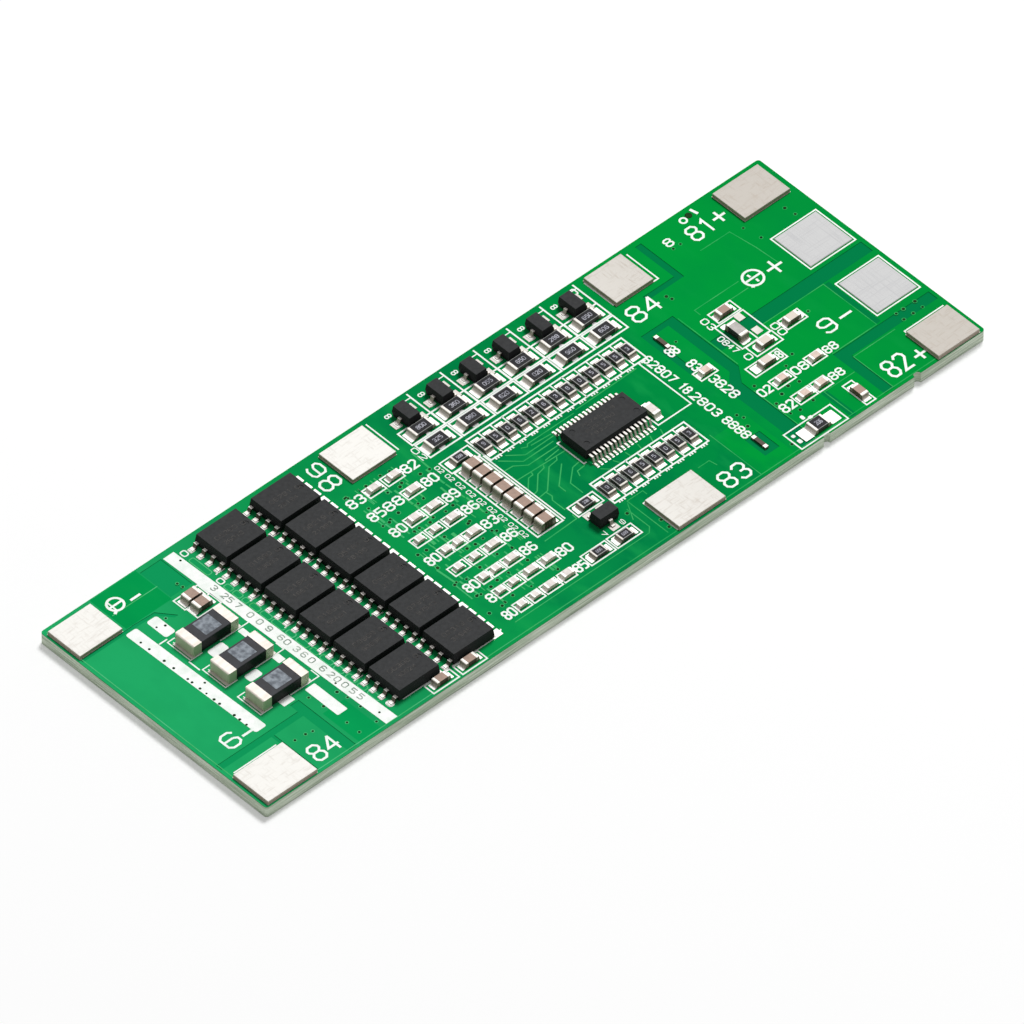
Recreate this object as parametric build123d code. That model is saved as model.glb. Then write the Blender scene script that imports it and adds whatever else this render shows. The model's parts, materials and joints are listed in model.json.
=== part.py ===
"""Battery management board: a populated protection and balancing circuit board.

Units are millimetres. X runs along the board, Y across it, Z up through the
components. The origin is the centre of the board's underside.

The layout is a chain of blocks along X: current sensing at the left end, two
columns of power transistors, gate resistors, six balancing cells with the
controller below them, and the output end with its pads at the right. Every
part is placed from the block that it belongs to, so a changed size moves
what stands beside it.
"""

import os
from collections import namedtuple

from build123d import *

# Board
BOARD_T = 1.6
CORNER_R = 0.4
MOAT_DEPTH = 0.06
NOTCH_R = 0.5
VIA_R = 0.22
LAND_T = 0.06

# Block lengths along the board
SENSE_BLOCK_L = 20.85
GATE_BLOCK_L = 13.72
CELL_PITCH = 5.1
CELL_COUNT = 6
POWER_BLOCK_L = 29.0

# Power transistors: two columns of six
MOS_L = 6.2
MOS_W = 5.2
MOS_H = 1.65
MOS_ROWS = 6
MOS_ROW_GAP = 0.44
MOS_TOP_MARGIN = 1.62
MOS_BOTTOM_MARGIN = 1.98
MOS_COLUMN_GAP = 0.73
MOS_PARTING_H = 0.45
MOS_DRAFT = 0.13
MOS_LEAD_PITCH = 1.43
MOS_LEAD_COUNT = 4
MOS_LEAD_W = 0.5
MOS_LEAD_T = 0.2
MOS_LEAD_REACH = 1.05
MOS_LEAD_FOOT = 0.5
MOS_PADDLE_L = 4.8
MOS_PADDLE_T = 0.12
MOS_FINGER_W = 0.6
MOS_FINGER_REACH = 0.3
MARK_R = 0.36
MARK_DEPTH = 0.06
MARK_INSET = 0.85

# Current shunts
SHUNT_L = 6.95
SHUNT_W = 3.1
SHUNT_H = 1.6
SHUNT_COUNT = 3
SHUNT_PITCH = 5.73
SHUNT_CAP_L = 1.25
SHUNT_CAP_PROUD = 0.04
SHUNT_CAP_R = 0.22
SHUNT_LAND_REACH = 0.3
SHUNT_FROM_EDGE = 13.26
SHUNT_ROW_Y = -0.2

# Controller
IC_L = 9.55
IC_W = 4.3
IC_H = 1.43
IC_STANDOFF = 0.12
IC_PARTING_H = 0.74
IC_DRAFT = 0.12
IC_LEADS_PER_SIDE = 16
IC_LEAD_PITCH = 0.58
IC_LEAD_W = 0.27
IC_LEAD_T = 0.13
IC_LEAD_REACH = 1.45
IC_LEAD_FOOT = 0.5
IC_MARK_INSET = 0.95
IC_FROM_CELLS = 17.2
IC_Y = -1.12

# Small transistors
TR_L = 2.9
TR_W = 1.75
TR_H = 1.48
TR_STANDOFF = 0.06
TR_PARTING_H = 0.65
TR_DRAFT = 0.1
TR_LEAD_W = 0.45
TR_LEAD_T = 0.15
TR_LEAD_REACH = 0.7
TR_LEAD_FOOT = 0.3
TR_LEAD_SPREAD = 0.95
TR_LAND_W = 1.1
TR_LAND_L = 0.95
TR_TOP_MARGIN = 1.75
CELL_PART_X = 2.25

# Balancing resistors, two in each cell
BALANCE_L = 3.2
BALANCE_W = 1.55
BALANCE_H = 0.6
BALANCE_CAP = 0.5
BALANCE_REACH = 0.68
BALANCE_TO_TR_GAP = 0.175
BALANCE_ROW_GAP = 1.17

# Filter resistors in a row above the controller, and one more row below it
ROW_CHIP_L = 2.0
ROW_CHIP_W = 1.15
ROW_CHIP_H = 0.5
ROW_CHIP_CAP = 0.33
ROW_CHIP_REACH = 0.78
UPPER_ROW_COUNT = 13
UPPER_ROW_PITCH = 1.837
UPPER_ROW_START = 5.54
UPPER_ROW_GAP = 1.455
LOWER_ROW_COUNT = 8
LOWER_ROW_PITCH = 1.8
LOWER_ROW_START = 10.98
LOWER_ROW_GAP = 1.68

# Filter capacitors in a column beside the controller
CAP_L = 2.1
CAP_W = 1.33
CAP_H = 1.15
CAP_END = 0.45
CAP_REACH = 0.6
CAP_COUNT = 8
CAP_PITCH = 1.68
CAP_COLUMN_X = 2.25
CAP_COLUMN_Y = -1.45

# Gate resistors, and the smaller pull-down resistors in the same rows
GATE_L = 1.6
GATE_W = 0.85
GATE_H = 0.48
GATE_CAP = 0.32
GATE_REACH = 0.45
PULL_DOWN_L = 1.1
PULL_DOWN_W = 0.75
PULL_DOWN_H = 0.4
PULL_DOWN_CAP = 0.25
PULL_DOWN_REACH = 0.3

# Small capacitors near the output, and lower ones beside the shunts
SMALL_CAP_L = 2.0
SMALL_CAP_W = 1.0
SMALL_CAP_H = 0.65
SMALL_CAP_END = 0.4
LOW_CAP_H = 0.8

# Regulator and temperature sensor
REGULATOR_L = 2.6
REGULATOR_W = 1.2
REGULATOR_H = 0.95
SENSOR_L = 2.55
SENSOR_W = 1.7
SENSOR_CAP = 0.5
SENSOR_REACH = 1.45

# Solder links
LINK_L = 2.4
LINK_W = 0.5
LINK_H = 0.22
LINK_CAP = 0.5

# Gull-wing leads: how far they run level, and how the slope leans
LEAD_SHOULDER = 0.68
LEAD_SLOPE = 0.7

# Welding tabs and tinned pads
TAB_T = 0.5
TAB_EDGE = 0.04
TAB_SOLDER_RIM = 0.06
PAD_T = 0.12
PAD_EDGE = 0.06

# Chip ends: the solder slope sags to a point between the end cap and the land
END_CAP_DROP = 0.02
FILLET_RUN = 0.32
FILLET_RISE = 0.28

Chip = namedtuple("Chip", "length width height cap reach")
Tab = namedtuple("Tab", "x y length width")

# Positions of the blocks, from the left end to the right end
MOS_COLUMN_PITCH = MOS_L + MOS_LEAD_REACH + MOS_FINGER_REACH + MOS_COLUMN_GAP
MOS_BLOCK_L = MOS_COLUMN_PITCH + MOS_LEAD_REACH + MOS_L + MOS_FINGER_REACH
CELL_BLOCK_L = CELL_COUNT * CELL_PITCH
BOARD_L = SENSE_BLOCK_L + MOS_BLOCK_L + GATE_BLOCK_L + CELL_BLOCK_L + POWER_BLOCK_L
MOS_PITCH = MOS_W + MOS_ROW_GAP
BOARD_W = MOS_TOP_MARGIN + MOS_ROWS * MOS_W + (MOS_ROWS - 1) * MOS_ROW_GAP + MOS_BOTTOM_MARGIN

LEFT, RIGHT = -BOARD_L / 2, BOARD_L / 2
TOP, BOTTOM = BOARD_W / 2, -BOARD_W / 2
MOS_START = LEFT + SENSE_BLOCK_L
GATE_START = MOS_START + MOS_BLOCK_L
CELL_START = GATE_START + GATE_BLOCK_L
POWER_START = RIGHT - POWER_BLOCK_L
SEAT = BOARD_T + LAND_T

# Leads leave their bodies at the parting line
MOS_LEAD_RISE = MOS_PADDLE_T + MOS_PARTING_H - MOS_LEAD_T / 2
IC_LEAD_RISE = IC_STANDOFF + IC_PARTING_H - IC_LEAD_T / 2
TR_LEAD_RISE = TR_STANDOFF + TR_PARTING_H - LAND_T - TR_LEAD_T / 2

# Rows across the board
TR_Y = TOP - TR_TOP_MARGIN - TR_L / 2
BALANCE_UPPER_Y = TR_Y - TR_L / 2 - BALANCE_TO_TR_GAP - BALANCE_W / 2
BALANCE_LOWER_Y = BALANCE_UPPER_Y - BALANCE_W - BALANCE_ROW_GAP
UPPER_ROW_Y = BALANCE_LOWER_Y - BALANCE_W / 2 - UPPER_ROW_GAP - ROW_CHIP_REACH - ROW_CHIP_L / 2
IC_X = CELL_START + IC_FROM_CELLS
LOWER_ROW_Y = IC_Y - IC_W / 2 - IC_LEAD_REACH - LOWER_ROW_GAP - ROW_CHIP_REACH - ROW_CHIP_L / 2

BALANCE_CHIP = Chip(BALANCE_L, BALANCE_W, BALANCE_H, BALANCE_CAP, BALANCE_REACH)
ROW_CHIP = Chip(ROW_CHIP_L, ROW_CHIP_W, ROW_CHIP_H, ROW_CHIP_CAP, ROW_CHIP_REACH)
CAP_CHIP = Chip(CAP_L, CAP_W, CAP_H, CAP_END, CAP_REACH)
GATE_CHIP = Chip(GATE_L, GATE_W, GATE_H, GATE_CAP, GATE_REACH)
PULL_DOWN_CHIP = Chip(PULL_DOWN_L, PULL_DOWN_W, PULL_DOWN_H, PULL_DOWN_CAP, PULL_DOWN_REACH)
SMALL_CAP_CHIP = Chip(SMALL_CAP_L, SMALL_CAP_W, SMALL_CAP_H, SMALL_CAP_END, CAP_REACH)
LOW_CAP_CHIP = CAP_CHIP._replace(height=LOW_CAP_H)
REGULATOR_CHIP = Chip(REGULATOR_L, REGULATOR_W, REGULATOR_H, CAP_END, GATE_REACH)
SENSOR_CHIP = Chip(SENSOR_L, SENSOR_W, BALANCE_H, SENSOR_CAP, SENSOR_REACH)
LINK_CHIP = Chip(LINK_L, LINK_W, LINK_H, LINK_CAP, 0)

# Welding tabs and pads: each from its own corner or edge of the board
TABS = {
    "tab_west": Tab(LEFT + 3.55, TOP - 3.53, 6.4, 5.3),
    "tab_south": Tab(LEFT + 4.15, BOTTOM + 3.05, 7.4, 5.7),
    "tab_gate_end": Tab(GATE_START + 7.96, TOP - 3.78, 6.6, 5.6),
    "tab_rear": Tab(POWER_START + 3.98, TOP - 3.52, 5.7, 5.4),
    "tab_north": Tab(RIGHT - 4.5, TOP - 3.55, 7.0, 5.35),
    "tab_east": Tab(RIGHT - 3.95, BOTTOM + 2.75, 6.35, 5.3),
    "tab_front": Tab(CELL_START + 16.23, BOTTOM + 3.17, 7.1, 5.65),
}
PADS = {
    "output_pad_plus": Tab(RIGHT - 4.3, 5.0, 6.5, 6.05),
    "output_pad_minus": Tab(RIGHT - 4.05, -5.27, 6.2, 6.35),
}

# Gate and pull-down resistors: the y of each row and the places along it
GATE_ROWS = {
    9.6: (5.72, 8.77),
    6.5: (8.82,),
    3.1: (5.87, 8.77),
    0.3: (9.12,),
    -2.9: (9.27,),
    -5.8: (9.47,),
    -8.8: (9.57,),
    -11.6: (9.87, 12.57),
    -14.8: (9.84, 12.42),
}
PULL_DOWN_ROWS = {
    0.3: (4.02, 6.47),
    -2.9: (5.09, 6.87),
    -5.8: (4.27, 6.77),
    -8.8: (5.32, 7.17),
    -11.6: (5.22, 7.27),
    -14.8: (5.47, 7.57),
}

# Small capacitors and resistors: x from the block's start, y, turned a quarter
SENSE_CAPS = ((15.95, 10.95, False), (15.95, 9.3, False))
MOS_CAPS = ((6.65, BOTTOM + 1.2, False), (11.0, BOTTOM + 1.2, False))
CELL_RESISTORS = (
    (2.2, CAP_COLUMN_Y + 8.0, False),
    (7.7, -8.2, False),
    (3.55, BOTTOM + 3.75, False),
    (7.5, BOTTOM + 3.75, False),
)
CONTROLLER_CAP = (IC_L / 2 + 1.12, IC_Y - 1.45, True)
POWER_CAPS = (
    (9.2, 3.3, False),
    (9.3, -3.35, False),
    (7.3, -5.7, False),
    (14.1, -2.65, False),
    (11.65, BOTTOM + 2.3, True),
)
POWER_RESISTORS = (
    (6.75, -8.8, False),
    (11.95, -8.8, False),
    (6.98, -12.3, False),
    (9.55, -12.3, False),
    (1.3, -2.1, False),
)
REGULATOR = (8.05, -0.1, True)
SENSOR = (4.7, BOTTOM + 1.65, False)
LINKS = ((-1.92, BOTTOM + 4.2, True), (0.9, 4.6, True))
FRONT_TRANSISTOR = (7.65, BOTTOM + 7.2)
SPARE_LANDS = ((10.05, 1.65), (10.1, -1.2))

# Engraved gaps between the copper areas: x from the block, y, length, width
SENSE_MOATS = (
    (0.35, TOP - 6.7, 7.8, 0.45),
    (14.35, TOP - 5.85, 3.2, 5.1),
    (0.35, BOTTOM + 7.65, 12.5, 0.9),
    (7.85, BOTTOM + 0.35, 0.45, 7.3),
    (12.65, BOTTOM + 0.35, 1.3, 9.45),
)
POWER_MOATS = (
    (5.0, -0.85, 23.4, 1.95),
    (3.3, -3.9, 1.4, 10.8),
    (-0.2, 6.1, 3.5, 0.8),
    (-0.2, -1.3, 0.9, 7.4),
    (1.15, BOTTOM + 0.35, 2.0, 12.1),
    (13.7, -11.3, 14.8, 1.5),
    (13.7, BOTTOM + 0.35, 1.5, 6.85),
    (9.1, 10.6, 0.9, 7.1),
    (4.3, 10.6, 4.8, 0.75),
    (-2.85, BOTTOM + 2.3, 2.2, 3.3),
)
MOAT_BEND = ((3.3, -3.9), (4.7, -3.9), (3.15, -6.05), (1.15, -6.05))
SENSE_BEND = ((8.15, 12.3), (11.4, 12.15), (13.1, 10.05), (12.5, 10.05), (11.1, 11.75), (8.15, 11.8))

# Plated holes beside the shunts, and half-round notches in the front edge
SENSE_VIA_X = 7.2
SENSE_VIAS_Y = (8.3, 1.3, 0.0, -1.05, -2.3, -3.2)
NOTCHES = (4.5, 18.5)


def block(x0, y0, z0, length, width, height):
    """A box from its lowest corner."""
    solid = Box(length, width, height, align=(Align.MIN, Align.MIN, Align.MIN))
    return Pos(x0, y0, z0) * solid


def prism(points, z0, height):
    """A straight prism over a closed outline in the XY plane."""
    outline = make_face(Polyline(*[(x, y) for x, y in points], close=True))
    return Pos(0, 0, z0) * extrude(outline, height)


def side_profile(points, width):
    """A closed outline in the XZ plane, extruded to a width centred on Y."""
    outline = make_face(Polyline(*[(x, 0, z) for x, z in points], close=True))
    return extrude(outline, width / 2, dir=(0, 1, 0), both=True)


def moulded_body(length, width, height, parting, draft):
    """A moulded package: widest at its parting line, drawn in above and below."""
    levels = ((0, draft * parting / (height - parting)), (parting, 0), (height, draft))
    sections = [
        Pos(0, 0, z) * Rectangle(length - 2 * inset, width - 2 * inset)
        for z, inset in levels
    ]
    return loft(sections, ruled=True)


def gull_lead(reach, rise, thickness, foot, width):
    """A lead that leaves a body at X = 0, steps down and ends in a flat foot."""
    shoulder = (reach - foot) * LEAD_SHOULDER
    slope_shift = thickness * LEAD_SLOPE
    points = (
        (0, rise),
        (shoulder - slope_shift, rise),
        (reach - foot - slope_shift, 0),
        (reach, 0),
        (reach, thickness),
        (reach - foot, thickness),
        (shoulder, rise + thickness),
        (0, rise + thickness),
    )
    return side_profile(points, width)


def rows_of(count, pitch):
    """Offsets of a row of like things about its middle."""
    return [(i - (count - 1) / 2) * pitch for i in range(count)]


def chip_body(kind):
    """The ceramic between the two metal ends of a chip part."""
    body_l = kind.length - 2 * kind.cap
    return Pos(0, 0, SEAT + kind.height / 2) * Box(body_l, kind.width, kind.height)


def chip_ends(kind):
    """Both metal ends of a chip, each with its land and the solder between."""
    half = kind.length / 2
    inner = half - kind.cap
    outer = half + kind.reach
    top = LAND_T + kind.height - END_CAP_DROP
    solder = []
    if kind.reach:
        hollow = (half + FILLET_RUN * kind.reach, LAND_T + FILLET_RISE * kind.height)
        solder = [(outer, LAND_T), hollow]
    points = [(inner, 0), (outer, 0), *solder, (half, top), (inner, top)]
    end = Pos(0, 0, BOARD_T) * side_profile(points, kind.width)
    return [end, Rot(0, 0, 180) * end]


def place(x, y, turned=False):
    """The place of a part on the board, turned a quarter if it lies across."""
    return Pos(x, y, 0) * Rot(0, 0, 90 if turned else 0)


def chips_at(kind, places):
    """Bodies and metal ends of one kind of chip at several places."""
    bodies, ends = [], []
    for x, y, turned in places:
        here = place(x, y, turned)
        bodies.append(here * chip_body(kind))
        ends += [here * end for end in chip_ends(kind)]
    return bodies, ends


def from_block(start, places):
    """Places given from the start of a block, as places on the board."""
    return [(start + x, y, turned) for x, y, turned in places]


def from_rows(start, rows):
    """Places given row by row from the start of a block."""
    return [(start + x, y, False) for y, row in rows.items() for x in row]


def mos_places():
    """Centres of the power transistors, column by column from the top."""
    first_x = MOS_START + MOS_LEAD_REACH + MOS_L / 2
    first_y = TOP - MOS_TOP_MARGIN - MOS_W / 2
    return [
        (first_x + column * MOS_COLUMN_PITCH, first_y - row * MOS_PITCH)
        for column in range(2)
        for row in range(MOS_ROWS)
    ]


def mos_paddle():
    """The drain paddle under the body, with fingers that show past one side."""
    outer = MOS_L / 2 + MOS_FINGER_REACH
    inner = MOS_L / 2 - 2 * MOS_DRAFT
    fingers = []
    for y in rows_of(MOS_LEAD_COUNT, MOS_LEAD_PITCH):
        low, high = y - MOS_FINGER_W / 2, y + MOS_FINGER_W / 2
        fingers += [(inner, low), (outer, low), (outer, high), (inner, high)]
    back = inner - MOS_PADDLE_L
    outline = [(back, fingers[0][1])] + fingers[1:-1] + [(back, fingers[-1][1])]
    return prism(outline, BOARD_T, MOS_PADDLE_T)


def mos_body():
    """The moulded body, seated on its paddle and marked beside pin one."""
    height = MOS_H - MOS_PADDLE_T
    body = moulded_body(MOS_L, MOS_W, height, MOS_PARTING_H, MOS_DRAFT)
    mark_x = MOS_L / 2 - MARK_INSET
    body -= Pos(mark_x, 0, height - MARK_DEPTH / 2) * Cylinder(MARK_R, MARK_DEPTH)
    return Pos(0, 0, BOARD_T + MOS_PADDLE_T) * body


def mos_leads():
    """Source and gate leads of one power transistor, on its left side."""
    lead = gull_lead(MOS_LEAD_REACH, MOS_LEAD_RISE, MOS_LEAD_T, MOS_LEAD_FOOT, MOS_LEAD_W)
    return [
        Pos(-MOS_L / 2, y, BOARD_T) * Rot(0, 0, 180) * lead
        for y in rows_of(MOS_LEAD_COUNT, MOS_LEAD_PITCH)
    ]


def land(x, y, length, width):
    """A tinned land on the board, from its centre."""
    return Pos(x, y, BOARD_T + LAND_T / 2) * Box(length, width, LAND_T)


def shunt_body():
    """The dark resistive middle of a current shunt."""
    body_l = SHUNT_L - 2 * SHUNT_CAP_L
    middle = Box(body_l, SHUNT_W - 2 * SHUNT_CAP_PROUD, SHUNT_H - 2 * SHUNT_CAP_PROUD)
    middle = chamfer(middle.edges().filter_by(Axis.X), SHUNT_CAP_PROUD)
    return Pos(0, 0, SEAT + SHUNT_H / 2) * middle


def shunt_ends():
    """The two plated ends of a current shunt, rounded at their outer edges."""
    end = block(SHUNT_L / 2 - SHUNT_CAP_L, -SHUNT_W / 2, SEAT, SHUNT_CAP_L, SHUNT_W, SHUNT_H)
    end = fillet(end.faces().sort_by(Axis.X)[-1].edges(), SHUNT_CAP_R)
    return [end, Rot(0, 0, 180) * end]


def shunt_lands():
    """The two lands under a current shunt."""
    land_l = SHUNT_CAP_L + SHUNT_LAND_REACH
    x = SHUNT_L / 2 - SHUNT_CAP_L + land_l / 2
    return [land(side * x, 0, land_l, SHUNT_W) for side in (-1, 1)]


def controller_body():
    """The controller's moulded body with four shallow round marks."""
    body = moulded_body(IC_L, IC_W, IC_H, IC_PARTING_H, IC_DRAFT)
    for x in (-IC_L / 2 + IC_MARK_INSET, IC_L / 2 - IC_MARK_INSET):
        for y in (-IC_W / 2 + IC_MARK_INSET, IC_W / 2 - IC_MARK_INSET):
            body -= Pos(x, y, IC_H - MARK_DEPTH / 2) * Cylinder(MARK_R, MARK_DEPTH)
    return Pos(IC_X, IC_Y, BOARD_T + IC_STANDOFF) * body


def controller_leads():
    """Leads along both long sides of the controller."""
    lead = gull_lead(IC_LEAD_REACH, IC_LEAD_RISE, IC_LEAD_T, IC_LEAD_FOOT, IC_LEAD_W)
    return [
        Pos(IC_X + x, IC_Y + side * IC_W / 2, BOARD_T) * Rot(0, 0, side * 90) * lead
        for side in (-1, 1)
        for x in rows_of(IC_LEADS_PER_SIDE, IC_LEAD_PITCH)
    ]


def transistor_places():
    """Places of the six cell transistors and the one at the front edge."""
    cells = [
        Pos(CELL_START + k * CELL_PITCH + CELL_PART_X, TR_Y, 0)
        for k in range(CELL_COUNT)
    ]
    x, y = FRONT_TRANSISTOR
    return cells + [Pos(CELL_START + x, y, 0) * Rot(0, 0, 90)]


def transistor_body():
    """A small moulded transistor, long across the board."""
    body = moulded_body(TR_W, TR_L, TR_H, TR_PARTING_H, TR_DRAFT)
    return Pos(0, 0, BOARD_T + TR_STANDOFF) * body


def transistor_feet():
    """Where a small transistor's leads leave it: side and offset along it."""
    return ((-1, 0), (1, -TR_LEAD_SPREAD), (1, TR_LEAD_SPREAD))


def transistor_leads():
    """One lead on the left side of a small transistor and two on the right."""
    lead = gull_lead(TR_LEAD_REACH, TR_LEAD_RISE, TR_LEAD_T, TR_LEAD_FOOT, TR_LEAD_W)
    return [
        Pos(side * TR_W / 2, y, SEAT) * Rot(0, 0, 0 if side > 0 else 180) * lead
        for side, y in transistor_feet()
    ]


def transistor_lands():
    """The lands under a small transistor's leads."""
    foot_x = TR_W / 2 + TR_LEAD_REACH
    return [land(side * foot_x, y, TR_LAND_L, TR_LAND_W) for side, y in transistor_feet()]


def welding_tab(tab):
    """A nickel tab standing on its solder, its upper edge just broken."""
    strip = Pos(tab.x, tab.y, SEAT + TAB_T / 2) * Box(tab.length, tab.width, TAB_T)
    return chamfer(strip.faces().sort_by(Axis.Z)[-1].edges(), TAB_EDGE)


def tab_solder(tab):
    """The thin solder layer under a tab, a little wider than the tab."""
    return land(tab.x, tab.y, tab.length + 2 * TAB_SOLDER_RIM, tab.width + 2 * TAB_SOLDER_RIM)


def output_pad(pad):
    """A bare tinned pad with a softened upper edge."""
    plate = Pos(pad.x, pad.y, BOARD_T + PAD_T / 2) * Box(pad.length, pad.width, PAD_T)
    return chamfer(plate.faces().sort_by(Axis.Z)[-1].edges(), PAD_EDGE)


def bare_board():
    """The board with its engraved copper gaps, plated holes and edge notches."""
    outline = Rectangle(BOARD_L, BOARD_W)
    outline = fillet(outline.vertices(), CORNER_R)
    slab = extrude(outline, BOARD_T)
    floor = BOARD_T - MOAT_DEPTH
    for start, moats in ((LEFT, SENSE_MOATS), (POWER_START, POWER_MOATS)):
        for x, y, length, width in moats:
            slab -= block(start + x, y, floor, length, width, MOAT_DEPTH)
    for start, bend in ((POWER_START, MOAT_BEND), (LEFT, SENSE_BEND)):
        slab -= prism([(start + x, y) for x, y in bend], floor, MOAT_DEPTH)
    for x in NOTCHES:
        slab -= Pos(POWER_START + x, BOTTOM, BOARD_T / 2) * Cylinder(NOTCH_R, BOARD_T)
    for y in SENSE_VIAS_Y:
        slab -= Pos(LEFT + SENSE_VIA_X, y, BOARD_T / 2) * Cylinder(VIA_R, BOARD_T)
    return slab


def add_power_transistors(parts):
    """Twelve power transistors with their leads and paddles."""
    paddle = mos_paddle()
    body = mos_body()
    leads, paddles = [], []
    for number, (x, y) in enumerate(mos_places(), 1):
        here = place(x, y)
        parts[f"power_transistor_{number:02d}"] = [here * body]
        paddles.append(here * paddle)
        leads += [here * lead for lead in mos_leads()]
    parts["power_transistor_leads"] = leads
    parts["power_transistor_paddles"] = paddles


def add_shunts(parts, lands):
    """Three current shunts in a column."""
    ends = []
    for number, y in enumerate(reversed(rows_of(SHUNT_COUNT, SHUNT_PITCH)), 1):
        here = place(LEFT + SHUNT_FROM_EDGE, SHUNT_ROW_Y + y)
        parts[f"current_shunt_{number}"] = [here * shunt_body()]
        ends += [here * end for end in shunt_ends()]
        lands += [here * one for one in shunt_lands()]
    parts["current_shunt_ends"] = ends


def add_small_transistors(parts, lands):
    """The balancing transistors and the one at the front edge."""
    leads = []
    for number, here in enumerate(transistor_places(), 1):
        parts[f"small_transistor_{number}"] = [here * transistor_body()]
        leads += [here * lead for lead in transistor_leads()]
        lands += [here * one for one in transistor_lands()]
    parts["small_transistor_leads"] = leads


def add_balance_resistors(parts, ends):
    """Two balancing resistors for each cell, below its small transistor."""
    for k in range(CELL_COUNT):
        x = CELL_START + k * CELL_PITCH + CELL_PART_X
        pair = [(x, BALANCE_UPPER_Y, False), (x, BALANCE_LOWER_Y, False)]
        bodies, metal = chips_at(BALANCE_CHIP, pair)
        parts[f"balance_resistors_{k + 1}"] = bodies
        ends += metal


def chip_groups():
    """The remaining chips: the name of each group, its kind and its places."""
    upper = [(UPPER_ROW_START + k * UPPER_ROW_PITCH, UPPER_ROW_Y, True) for k in range(UPPER_ROW_COUNT)]
    lower = [(LOWER_ROW_START + k * LOWER_ROW_PITCH, LOWER_ROW_Y, True) for k in range(LOWER_ROW_COUNT)]
    column = [(CAP_COLUMN_X, CAP_COLUMN_Y + y, False) for y in rows_of(CAP_COUNT, CAP_PITCH)]
    beside = [(IC_X + CONTROLLER_CAP[0], *CONTROLLER_CAP[1:])]
    return (
        ("filter_resistors", ROW_CHIP, from_block(CELL_START, upper)),
        ("pull_up_resistors", ROW_CHIP, from_block(CELL_START, lower)),
        ("cell_resistors", ROW_CHIP, from_block(CELL_START, CELL_RESISTORS)),
        ("filter_capacitors", CAP_CHIP, from_block(CELL_START, column)),
        ("small_capacitors", LOW_CAP_CHIP, from_block(LEFT, SENSE_CAPS)),
        ("small_capacitors", SMALL_CAP_CHIP, from_block(MOS_START, MOS_CAPS)),
        ("controller_capacitor", SMALL_CAP_CHIP, beside),
        ("output_capacitors", SMALL_CAP_CHIP, from_block(POWER_START, POWER_CAPS)),
        ("gate_resistors", GATE_CHIP, from_rows(GATE_START, GATE_ROWS)),
        ("pull_down_resistors", PULL_DOWN_CHIP, from_rows(GATE_START, PULL_DOWN_ROWS)),
        ("output_resistors", GATE_CHIP, from_block(POWER_START, POWER_RESISTORS)),
        ("regulator", REGULATOR_CHIP, from_block(POWER_START, [REGULATOR])),
        ("temperature_sensor", SENSOR_CHIP, from_block(POWER_START, [SENSOR])),
        ("solder_links", LINK_CHIP, from_block(POWER_START, LINKS)),
    )


def build():
    """Every sub-part of the board, as lists of solids by name."""
    parts = {"bare_board": [bare_board()]}
    lands, ends = [], []
    for name, tab in TABS.items():
        parts[name] = [welding_tab(tab)]
        lands.append(tab_solder(tab))
    for name, pad in PADS.items():
        parts[name] = [output_pad(pad)]
    add_power_transistors(parts)
    add_shunts(parts, lands)
    parts["controller"] = [controller_body()]
    parts["controller_leads"] = controller_leads()
    add_small_transistors(parts, lands)
    add_balance_resistors(parts, ends)
    for name, kind, places in chip_groups():
        bodies, metal = chips_at(kind, places)
        parts.setdefault(name, []).extend(bodies)
        ends += metal
    lands += [land(POWER_START + x, y, TR_LAND_L, TR_LAND_W) for x, y in SPARE_LANDS]
    parts["chip_ends"] = ends
    parts["solder_lands"] = lands
    return parts


os.makedirs("parts", exist_ok=True)
for part_name, solids in build().items():
    shape = solids[0] if len(solids) == 1 else Compound(children=solids)
    export_step(shape, f"parts/{part_name}.step")
print("board", BOARD_L, BOARD_W, BOARD_T)
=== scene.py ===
"""Looks of the battery management board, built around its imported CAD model.

The part is in metres; places on the board are written in millimetres and turned
into metres where a mesh is made. X runs along the board and Y across it, from
the centre of the underside.
"""

import json
import math
import random
from collections import namedtuple

import bmesh
import bpy
from mathutils import Matrix, Vector

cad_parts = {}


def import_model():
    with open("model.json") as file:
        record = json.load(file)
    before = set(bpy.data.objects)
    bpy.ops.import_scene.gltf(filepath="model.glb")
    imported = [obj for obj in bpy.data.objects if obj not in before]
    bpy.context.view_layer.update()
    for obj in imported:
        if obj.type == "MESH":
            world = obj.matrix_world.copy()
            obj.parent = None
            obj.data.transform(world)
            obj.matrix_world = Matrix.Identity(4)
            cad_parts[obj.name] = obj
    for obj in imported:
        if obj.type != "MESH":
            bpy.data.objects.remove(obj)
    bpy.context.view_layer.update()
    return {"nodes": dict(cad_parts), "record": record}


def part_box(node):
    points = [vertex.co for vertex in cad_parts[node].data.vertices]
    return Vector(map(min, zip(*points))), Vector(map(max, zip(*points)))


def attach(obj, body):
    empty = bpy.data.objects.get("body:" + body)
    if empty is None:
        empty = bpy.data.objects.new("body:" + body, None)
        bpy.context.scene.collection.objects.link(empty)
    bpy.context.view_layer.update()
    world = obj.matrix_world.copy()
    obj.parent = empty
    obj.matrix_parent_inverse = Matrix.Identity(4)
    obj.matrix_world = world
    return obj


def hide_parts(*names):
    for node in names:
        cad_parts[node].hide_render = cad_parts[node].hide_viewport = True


MM = 0.001
SEED = 7

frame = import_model()
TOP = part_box("bare_board")[1].z / MM

# Heights of what lies on the board or on a part, all sunk a little into it
SUNK = 0.02
TRACE_T = 0.012
INK_T = 0.02
BAR_FIGURE_T = 0.03
HOLE_T = 0.026
TIN_T = 0.04
LONG_TIN_T = 0.06
HEAP_H = 0.13
MARK_T = 0.004
PATCH_T = 0.015
GLAZE_T = 0.012
VALUE_T = 0.022

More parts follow.
